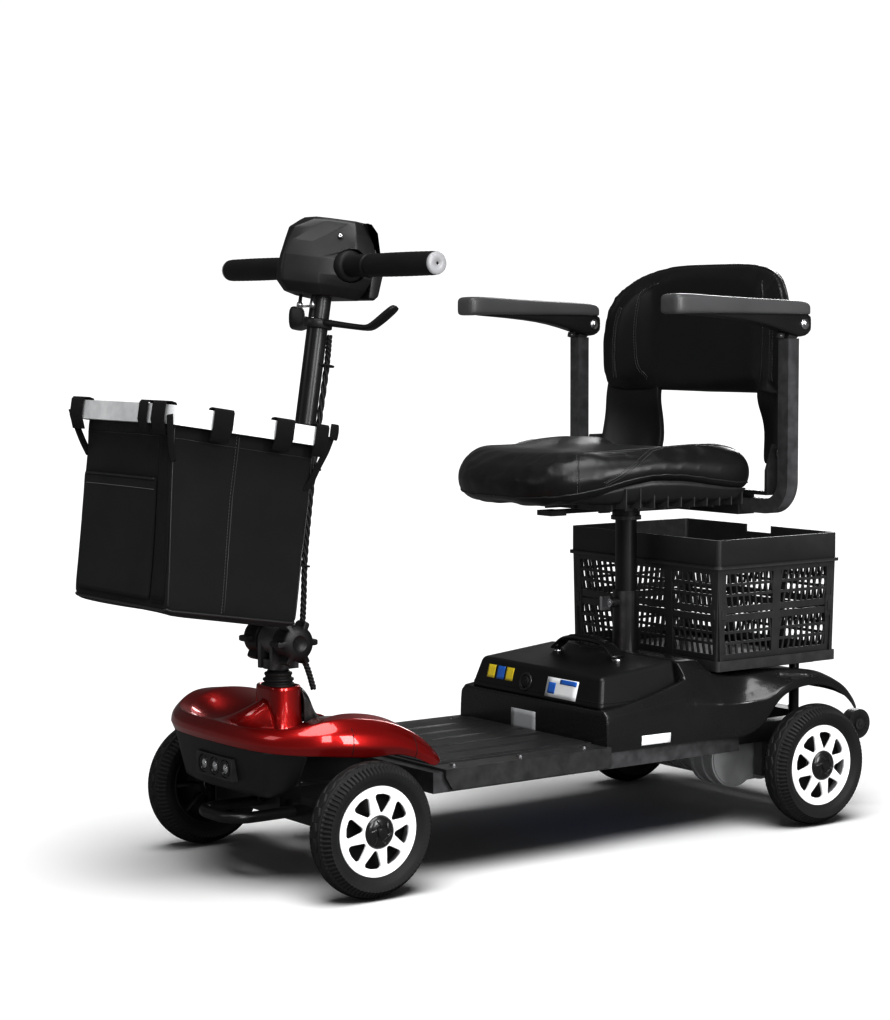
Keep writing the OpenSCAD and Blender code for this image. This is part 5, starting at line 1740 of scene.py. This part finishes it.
def grips():
    """Rubber grips with a collar line near the head, a pale cap at each end, and a deep black disc in each
    cap's hole as painted shade.
    """
    rubbers, caps, holes = [], [], []
    for s in (1, -1):
        axis = Vector((0, s, 0))
        profile = [(57, 11), (57, 14.6), (59, 15.4), (66, 15.8), (86, 16), (104, 16.4), (106, 17.2),
                   (108, 17.4), (109.4, 16.6), (110.4, 15.2), (111.4, 15.2), (112.6, 16.3), (116, 16.2)]
        profile += [(120 + 6 * k, 16.15 + 0.22 * (k % 2) + 0.5 * math.sin(math.pi * k / 24))
                    for k in range(25)]
        profile += [(267, 15.9), (268.5, 15)]
        rubbers.append(turned("rubber", on_tiller(*BAR), axis, profile, SOFT_RUBBER, 48))
        cap = [(266, 14), (266.5, 15.6), (269, 15.8), (271, 15.1), (272, 13.6), (272.2, 10), (272.2, 2.4),
               (270, 2.2)]
        caps.append(turned("cap", on_tiller(*BAR), axis, cap, CAP_GREY, 40))
        # A deep black disc sunk in each cap's hole is painted shade.
        holes.append(turned("hole", on_tiller(*BAR), axis, [(269.6, 2.3), (270.6, 2.3), (270.7, 0)],
                            BLACK_AND_HOLE_SHADE, 20))
    mount(join("grip_rubbers", rubbers), "tiller", "grip_rubber", "grips")
    mount(join("grip_caps", caps), "tiller", "grip_rubber")
    mount(join("grip_hole_shades", holes), "tiller", "grip_rubber")


def lever():
    """The thumb lever: a clamp ring and two flat arms that end in upturned paddles."""
    stations = [((0, 14, 460), 9, 5), ((-6, 30, 459), 8.5, 4.6), ((-14, 58, 457), 7.8, 4.2),
                ((-22, 84, 455.5), 8.4, 4.0), ((-25, 95, 455.5), 9.4, 4.0), ((-28, 101, 459), 11, 4.0),
                ((-34, 112, 470), 12.5, 3.8), ((-41, 126, 485), 12, 3.6), ((-43, 130, 489.5), 8, 3)]
    places = [on_tiller(*place) for place, _, _ in stations]
    rows = []
    for i, (place, wide, thick) in enumerate(stations):
        ahead = heading(places, i)
        side = ahead.cross(TILLER_UP).normalized()
        rise = side.cross(ahead)
        rows.append([places[i] + side * (a * wide * MM) + rise * (b * thick * MM) for a,
                     b in superellipse(20, 3.4)])
    arm = subdivide(loft("throttle_arm", rows, PLASTIC), 1)
    ring = turned("throttle_ring", HINGE, TILLER_UP,
                  [(451, 16), (451, 19.5), (452, 21), (463, 21), (464.6, 19.5), (464.6, 16), (464, 15.4),
                   (452, 15.4)],
                  PLASTIC, 48)
    other = mirrored(arm, "throttle_arm_right")
    whole = join("throttle_paddles", [arm, other, ring])
    heads = []
    for angle in (0.5, -0.5, 2.6, -2.6):
        place = on_tiller(18 * math.cos(angle), 18 * math.sin(angle), 464)
        heads.append(turned("screw", place, TILLER_UP, [(-1, 2.6), (1, 2.6), (1.8, 1.8), (1.9, 0)], ZINC,
                            16))
    screws = join("throttle_screws", heads)
    for piece in (whole, screws):
        mount(piece, "throttle_lever", "black_plastic")
    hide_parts("throttle_lever")
    throttle_spring()


def throttle_spring():
    """The wire spring that pulls the lever back, and the two clips that hold it."""
    bracket = []
    for s in (1, -1):
        profile = [(-9, 2.2), (-8, 4.2), (-2, 4.2), (0, 2.6), (10, 2.4)]
        bracket.append(turned("clip", on_tiller(24, s * 17, 486), TILLER_UP, profile, ZINC, 20))
    bracket.append(tube("spring", [on_tiller(24, -17, 480), on_tiller(31, 0, 478), on_tiller(24, 17, 480)],
                        1.6, ZINC, 8))
    mount(join("throttle_return_spring", bracket), "tiller", "zinc_steel")


def cable():
    """The twisted harness that runs down behind the tiller and into the column cover."""
    path = smooth_path([on_tiller(-22, 0, 444), on_tiller(-24, 0, 400), on_tiller(-23, 0, 300),
                        on_tiller(-24, 1, 200), on_tiller(-27, 2, 120), on_tiller(-33, 3, 60),
                        on_tiller(-37, 2, 20), at(392, 1, 318), at(378, 0, 288), at(368, 0, 258)], 22)
    strands = []
    for k in range(3):
        row = []
        for i, p in enumerate(path):
            turn = i * 0.55 + k * 2 * math.pi / 3
            ahead = heading(path, i)
            side = ahead.cross(LEFT).normalized()
            row.append(p + side * (math.cos(turn) * 2.3 * MM) + Vector((0, math.sin(turn) * 2.3 * MM, 0)))
        strands.append(tube("strand", row, 2.3, SOFT_RUBBER, count=8, steps=0))
    made = join("cable_strands", strands)
    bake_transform(made)
    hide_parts("tiller_cable")
    ties = []
    for w, u in ((400, -24), (250, -23.5), (110, -27)):
        loop = [on_tiller(u * 0.5 + 21 * math.cos(a), 17 * math.sin(a), w) for a in
                (2 * math.pi * i / 24 for i in range(25))]
        ties.append(tube("tie", loop, 1.5, BLACK_AND_HOLE_SHADE, count=6, steps=0))
    tie = join("cable_ties", ties)
    mount(tie, "tiller", "grip_rubber")


# ---- front basket --------------------------------------------------------------------------

def bag_ring(w, low_u, high_u, half, corner, sag, count=5, steps=15):
    """A rounded rectangle across the tiller, whose sides bow out by sag millimetres."""
    middle, long_half = (low_u + high_u) / 2, (high_u - low_u) / 2
    corners = []
    for quarter, (su, sy) in enumerate(((1, 1), (-1, 1), (-1, -1), (1, -1))):
        turns = [math.pi / 2 * (quarter + i / (count - 1)) for i in range(count)]
        corners.append([(su * (long_half - corner) + corner * math.cos(t),
                         sy * (half - corner) + corner * math.sin(t))
                        for t in turns])
    ring = []
    for quarter, some in enumerate(corners):
        ring += some
        (ax, ay), (bx, by) = some[-1], corners[(quarter + 1) % 4][0]
        out = math.pi / 2 * (quarter + 1)
        for i in range(1, steps):
            t = i / steps
            bow = sag * math.sin(math.pi * t)
            ring.append((ax + (bx - ax) * t + bow * math.cos(out),
                         ay + (by - ay) * t + bow * math.sin(out)))
    return [on_tiller(middle + u, y, w) for u, y in ring]


# The bag from its top hem down: height, rear, front, half width, corner radius, bulge of the sides.
BAG_RINGS = [(281, 55, 285, 122, 11, 0), (272, 56, 285, 122, 10, 0), (240, 56, 283, 124, 8, -1),
             (190, 57, 279, 127, 7, -2), (130, 57, 274, 131, 7, -2), (80, 57, 270, 134, 7, -1),
             (48, 57, 268.5, 135.5, 7, 0), (32, 57, 267, 135, 7, 0)]


def bag():
    """The fabric bag: an open-topped soft box that hangs from its hem."""
    rows = []
    for k in range(27):
        w = 281 - 249 * k / 26
        rows.append(bag_ring(w, *(between([(ring[0], ring[i]) for ring in BAG_RINGS], w)
                                  for i in range(1, 6))))
    for share, w in ((0.985, 28), (0.93, 26.5), (0.8, 26), (0.6, 26), (0.4, 26), (0.2, 26), (0.05, 26)):
        rows.append(bag_ring(w, 162 - 105 * share, 162 + 105 * share, 135 * share, 7 * share, 0))
    points = [p for row in rows for p in row]
    count = len(rows[0])
    faces = grid_faces(len(rows), count, wrap_columns=True)
    faces.append(tuple(range(len(points) - count, len(points))))
    made = add_mesh("bag_body", points, faces, BAG_CLOTH)
    inflate(made, 0, 0.35, 4, 14, lambda p: (p - HINGE).dot(TILLER_UP) > 0.268)
    tree = finish_soft(made, 2)
    thicken(made, 1.8)
    mount(made, "tiller", "bag_fabric", "basket_bag")
    bag_piping(tree)
    bag_pocket(tree)
    bag_straps(tree)


def strip(name, tree, path, width, material, thick=1.4, lift=0.4):
    """A flat band laid on a surface along a path."""
    rows = []
    for i, p in enumerate(path):
        ahead = heading(path, i)
        place, normal, _, _ = tree.find_nearest(p)
        beside = ahead.cross(normal).normalized()
        row = []
        for k in range(7):
            q, n, _, _ = tree.find_nearest(place + beside * ((k / 6 - 0.5) * width * MM))
            row.append(q + n * (lift * MM))
        rows.append(row)
    made = sheet(name, rows, material)
    return thicken(made, thick, 1.0)


def bag_piping(tree):
    """The bag's corner and side seams, and the piping round its foot and hem."""
    lines = []
    for u, y in ((300, 146), (300, -146), (40, 146), (40, -146)):
        upright = [on_tiller(u - (281 - w) * (0.12 if u > 200 else -0.05), y, w)
                   for w in (280, 210, 140, 80, 34)]
        lines.append(seam("line", tree, upright, 1.3, PIPING, 0.1))
    for s in (1, -1):
        side = [on_tiller(180 - (270 - w) * 0.02, s * 135, w) for w in (279, 210, 140, 80, 34)]
        lines.append(seam("line", tree, side, 0.9, PIPING, 0.0))
        lines.append(stitches("stitch", tree, side, -4, 4.5, 3))
    foot = bag_ring(29, 55, 270, 138, 8, 0)
    lines.append(seam("line", tree, foot + foot[:1], 1.9, PIPING, 0.3, 2))
    for w in (260, 278):
        hem = bag_ring(w, 50, 294, 134, 10, 0)
        lines.append(seam("line", tree, hem + hem[:1], 0.6, PIPING, 0.1, 2))
    mount(join("bag_piping", lines), "tiller", "bag_fabric")


def bag_pocket(tree):
    """The pocket on the bag's front, with a bound and stitched top edge."""
    pocket = []
    for j in range(14):
        w = 204 - (204 - 40) * j / 13
        row = []
        for i in range(29):
            y = -118 + 202 * i / 28
            place, normal, _, _ = tree.find_nearest(on_tiller(300, y, w))
            swell = math.sin(math.pi * min(1, max(0, (i - 0.5) / 27))) ** 0.5 * (1 - j / 13 * 0.7)
            row.append(place + normal * ((0.6 + 4.0 * swell) * MM))
        pocket.append(row)
    flap = sheet("bag_pocket", pocket, BAG_CLOTH)
    subdivide(flap, 1)
    thicken(flap, 1.6, 1.0)
    pocket_tree = surface_of(flap)
    hem_line = [on_tiller(300, y, 202) for y in range(-114, 83, 28)]
    edges = [seam("line", pocket_tree, hem_line, 1.4, PIPING, 0.2, 4),
             seam("line", pocket_tree, [on_tiller(300, y, 188) for y in range(-114, 83, 28)], 0.5, THREAD,
                  0.1, 4)]
    mount(flap, "tiller", "bag_fabric")
    mount(join("bag_pocket_hem", edges), "tiller", "bag_fabric")


def bag_straps(tree):
    """The webbing bands that are sewn down the bag's front and back."""
    bands = []
    for front, y in ((1, 106), (0, 70), (0, -70)):
        path = [on_tiller((304 - (281 - w) * 0.12) if front else (44 + (281 - w) * 0.05), y, w)
                for w in range(280, 30, -12)]
        bands.append(strip("band", tree, path, 36 if front else 28, WEBBING, 1.7, 0.6))
    mount(join("bag_straps", bands), "tiller", "bag_fabric")


def rim_loops():
    """Webbing loops that hang the bag from its metal rim, and the straps at its corners."""
    low, high, half = 46, 300, 140
    loops = []
    spots = [(high, 112, 1, 0, 17), (high, 70, 1, 0, 11), (high, -121, 1, 0, 17), (low, 70, -1, 0, 14),
             (low, -70, -1, 0, 14)]
    spots += [(u, s * half, 0, s, wide) for s in (1, -1) for u, wide in ((220, 15), (122, 14), (62, 10))]
    section = [(-13, -26), (-14, -2), (-12, 2.2), (-6, 3.2), (0.6, 2.8), (2.6, 0), (2.6, -22), (-1, -30),
               (-5, -40)]
    for u, y, ou, oy, wide in spots:
        rows = []
        for t in (-wide, -wide + 2, 0, wide - 2, wide):
            rows.append([on_tiller(u + ou * d + (t if ou == 0 else 0), y + oy * d + (t if oy == 0 else 0),
                                   304 + h)
                         for d, h in section])
        loop = sheet("loop", rows, WEBBING)
        thicken(loop, 1.5, 1.0)
        loops.append(loop)
    made = join("bag_loops", loops + corner_straps(low, high, half))
    mount(made, "tiller", "bag_fabric")


def corner_straps(low, high, half):
    """The webbing that wraps the rim's rear corners, and the straps that run down from each corner."""
    straps = []
    for s in (1, -1):
        corner = [on_tiller(low - 3 + 9 * math.cos(t), s * (half - 4 + 8 * math.sin(t)), 300)
                  for t in (3.3, 2.4, 1.6, 0.9)]
        straps.append(tube("corner", corner, 11, WEBBING, count=12, steps=4, flat=0.16,
                           up=(corner[0] - corner[-1]).cross(TILLER_UP)))
        rear = [(low - 1, 141, 292), (low + 3, 138, 272), (low + 8, 131, 250), (low + 13, 125, 228),
                (low + 19, 121, 214)]
        front = [(high + 1, 140, 290), (high - 6, 134, 270), (high - 15, 126, 248), (high - 25, 120, 230)]
        for path in (rear, front):
            places = [on_tiller(u, s * y, w) for u, y, w in path]
            straps.append(tube("strap", places, 5, WEBBING, count=12, steps=6, flat=0.24,
                               up=Vector((0, s, 0))))
    return straps


# ---- finishes for the CAD parts ------------------------------------------------------------

FINISHES = (
    (SATIN_BLACK, "main_frame rear_frame crate_carrier front_bumper_hoop steering_shaft knuckle_left "
                  "knuckle_right tiller_tube seat_post armrest_bar_left armrest_bar_right handlebar"),
    (PLASTIC, "floor_pan headlight_housing seat_base swivel_lever anti_tip_wheels"),
    (CRATE_PLASTIC, "crate_base crate_rim"),
    (ZINC, "frame_fasteners steering_bearings tie_rod power_key post_lock_bolt"),
    (CAST, "transaxle drive_motor"),
    (RIM_SILVER_PAINTED_REFLECTION, "basket_rim"),
    (LENS, "headlight_lenses"),
    (CELL_BLUE, "battery_cells"),
    (HORN, "horn_button"))

BEVELS = {"basket_rim": 2.5, "crate_rim": 1.6, "headlight_housing": 1.5, "floor_pan": 2.5,
          "armrest_bar_left": 2.2, "armrest_bar_right": 2.2, "anti_tip_wheels": 2.0}


def finish_cad():
    """Gives every CAD part that stays in view its finish, and rounds its sharp edges."""
    for material, nodes in FINISHES:
        for node in nodes.split():
            part = bpy.data.objects[node]
            part.data.materials.clear()
            part.data.materials.append(material)
            for polygon in part.data.polygons:
                polygon.material_index = 0
            soften(part, BEVELS.get(node, 0.9), 3, 35, False)


# ---- stage ---------------------------------------------------------------------------------

def stage():
    """A pale floor that runs out to the horizon; glossy rays see it painted dark grey, a painted shade in
    its reflections.
    """
    made = Shader("studio_paper", (0.93, 0.93, 0.93), 0.85, specular=0.05)
    made.vary(3.0, 0.012).bump(made.noise(400.0, 2.0), 0.02, 0.0002)
    # Glossy rays see the floor in dark grey: painted shade in the reflections on the scooter's glossy
    # parts.
    glossy = made.tree.nodes.new("ShaderNodeLightPath").outputs["Is Glossy Ray"]
    reflection_shade_mix = made.tree.nodes.new("ShaderNodeMix")
    reflection_shade_mix.data_type = "RGBA"
    reflection_shade_mix.inputs["B"].default_value = (0.2, 0.2, 0.2, 1)
    made.link(glossy, reflection_shade_mix.inputs["Factor"])
    made.link(made.last_mix.outputs["Result"], reflection_shade_mix.inputs["A"])
    made.link(reflection_shade_mix.outputs["Result"], made.main.inputs["Base Color"])
    rows = [[Vector((x, y, 0)) for y in (-60, -20, -4, 0, 4, 20, 60)] for x in (-60, -20, -4, 0, 4, 20, 60)]
    sheet("studio_floor", rows, made.material)


def area_light(name, place, target, size, power):
    """A soft box that lights the object but not the floor."""
    light = bpy.data.lights.new(name, "AREA")
    light.shape = "RECTANGLE"
    light.size, light.size_y = size
    light.energy = power
    made = bpy.data.objects.new(name, light)
    made.location = place
    made.rotation_euler = (Vector(target) - Vector(place)).to_track_quat("-Z", "Y").to_euler()
    bpy.context.scene.collection.objects.link(made)
    spared = bpy.data.collections.get("floor_only") or bpy.data.collections.new("floor_only")
    if not spared.objects:
        spared.objects.link(bpy.data.objects["studio_floor"])
        spared.collection_objects[0].light_linking.link_state = "EXCLUDE"
    made.light_linking.receiver_collection = spared


# Each soft box: name, place, target, size and power.
SOFT_BOXES = (
    ("key", (1.3, 2.7, 1.6), (0.1, 0, 0.45), (0.9, 1.6), 46),
    ("side", (-0.4, 3.0, 1.3), (0.0, 0, 0.45), (0.9, 1.5), 60),
    ("front", (2.9, -0.6, 1.9), (0.3, 0, 0.4), (0.8, 1.2), 9),
    ("rim", (-2.4, -1.8, 1.8), (0, 0, 0.6), (0.8, 1.6), 34))
# Strength of the backdrop as a light, and as the camera sees it.
WORLD_LIGHT, WORLD_SEEN = 0.12, 1.05


def lights():
    """An even overhead light for the floor, soft boxes for the highlights, and a white backdrop."""
    sun = bpy.data.lights.new("overhead", "SUN")
    sun.energy = 3.7
    sun.angle = math.radians(48)
    made = bpy.data.objects.new("overhead", sun)
    made.rotation_euler = (math.radians(-14), math.radians(10), 0)
    bpy.context.scene.collection.objects.link(made)
    for box in SOFT_BOXES:
        area_light(*box)
    world = bpy.data.worlds.new("studio")
    world.use_nodes = True
    tree = world.node_tree
    rays = tree.nodes.new("ShaderNodeLightPath")
    mix = tree.nodes.new("ShaderNodeMapRange")
    mix.inputs["To Min"].default_value = WORLD_LIGHT
    mix.inputs["To Max"].default_value = WORLD_SEEN
    tree.links.new(rays.outputs["Is Camera Ray"], mix.inputs["Value"])
    tree.links.new(mix.outputs["Result"], tree.nodes["Background"].inputs["Strength"])
    tree.nodes["Background"].inputs["Color"].default_value = (1, 1, 1, 1)
    bpy.context.scene.world = world


FOCAL_LENGTH = 85.83
CAMERA_PLACE = (2264.9, 2948.1, 787.0)
# Degrees to the left of straight ahead, below level, and of tilt.
CAMERA_TURN = (-125.89, 4.40, -0.15)


def camera():
    """A short telephoto from the front left, a little above the seat."""
    lens = bpy.data.cameras.new("camera")
    lens.sensor_fit = "AUTO"
    lens.sensor_width = 36.0
    lens.lens = FOCAL_LENGTH
    made = bpy.data.objects.new("camera", lens)
    yaw, pitch, roll = (math.radians(v) for v in CAMERA_TURN)
    ahead = Vector((math.cos(yaw) * math.cos(pitch), math.sin(yaw) * math.cos(pitch), -math.sin(pitch)))
    right = ahead.cross(UP).normalized()
    up = right.cross(ahead)
    right, up = right * math.cos(roll) + up * math.sin(roll), up * math.cos(roll) - right * math.sin(roll)
    made.matrix_world = Matrix.Translation(at(*CAMERA_PLACE)) @ Matrix(
        ((right.x, up.x, -ahead.x), (right.y, up.y, -ahead.y), (right.z, up.z, -ahead.z))).to_4x4()
    bpy.context.scene.collection.objects.link(made)
    bpy.context.scene.camera = made
    bpy.context.scene.view_settings.view_transform = "Standard"
    bpy.context.scene.view_settings.gamma = 0.76


# ---- the whole scooter ---------------------------------------------------------------------

for wheel in ("front_left", "front_right", "rear_left", "rear_right"):
    tyre(wheel)
    rim(wheel)
    hub_cap(wheel)
front_cover()
valance()
lamps()
column_collar()
star_knobs()
rear_column_cover()
rear_cover()
battery()
ribbed_mat()
crate()
seat_cushion()
seat_tray()
back_cushion()
back_shell()
armrests()
head()
grips()
lever()
cable()
bag()
rim_loops()
finish_cad()
stage()
lights()
camera()
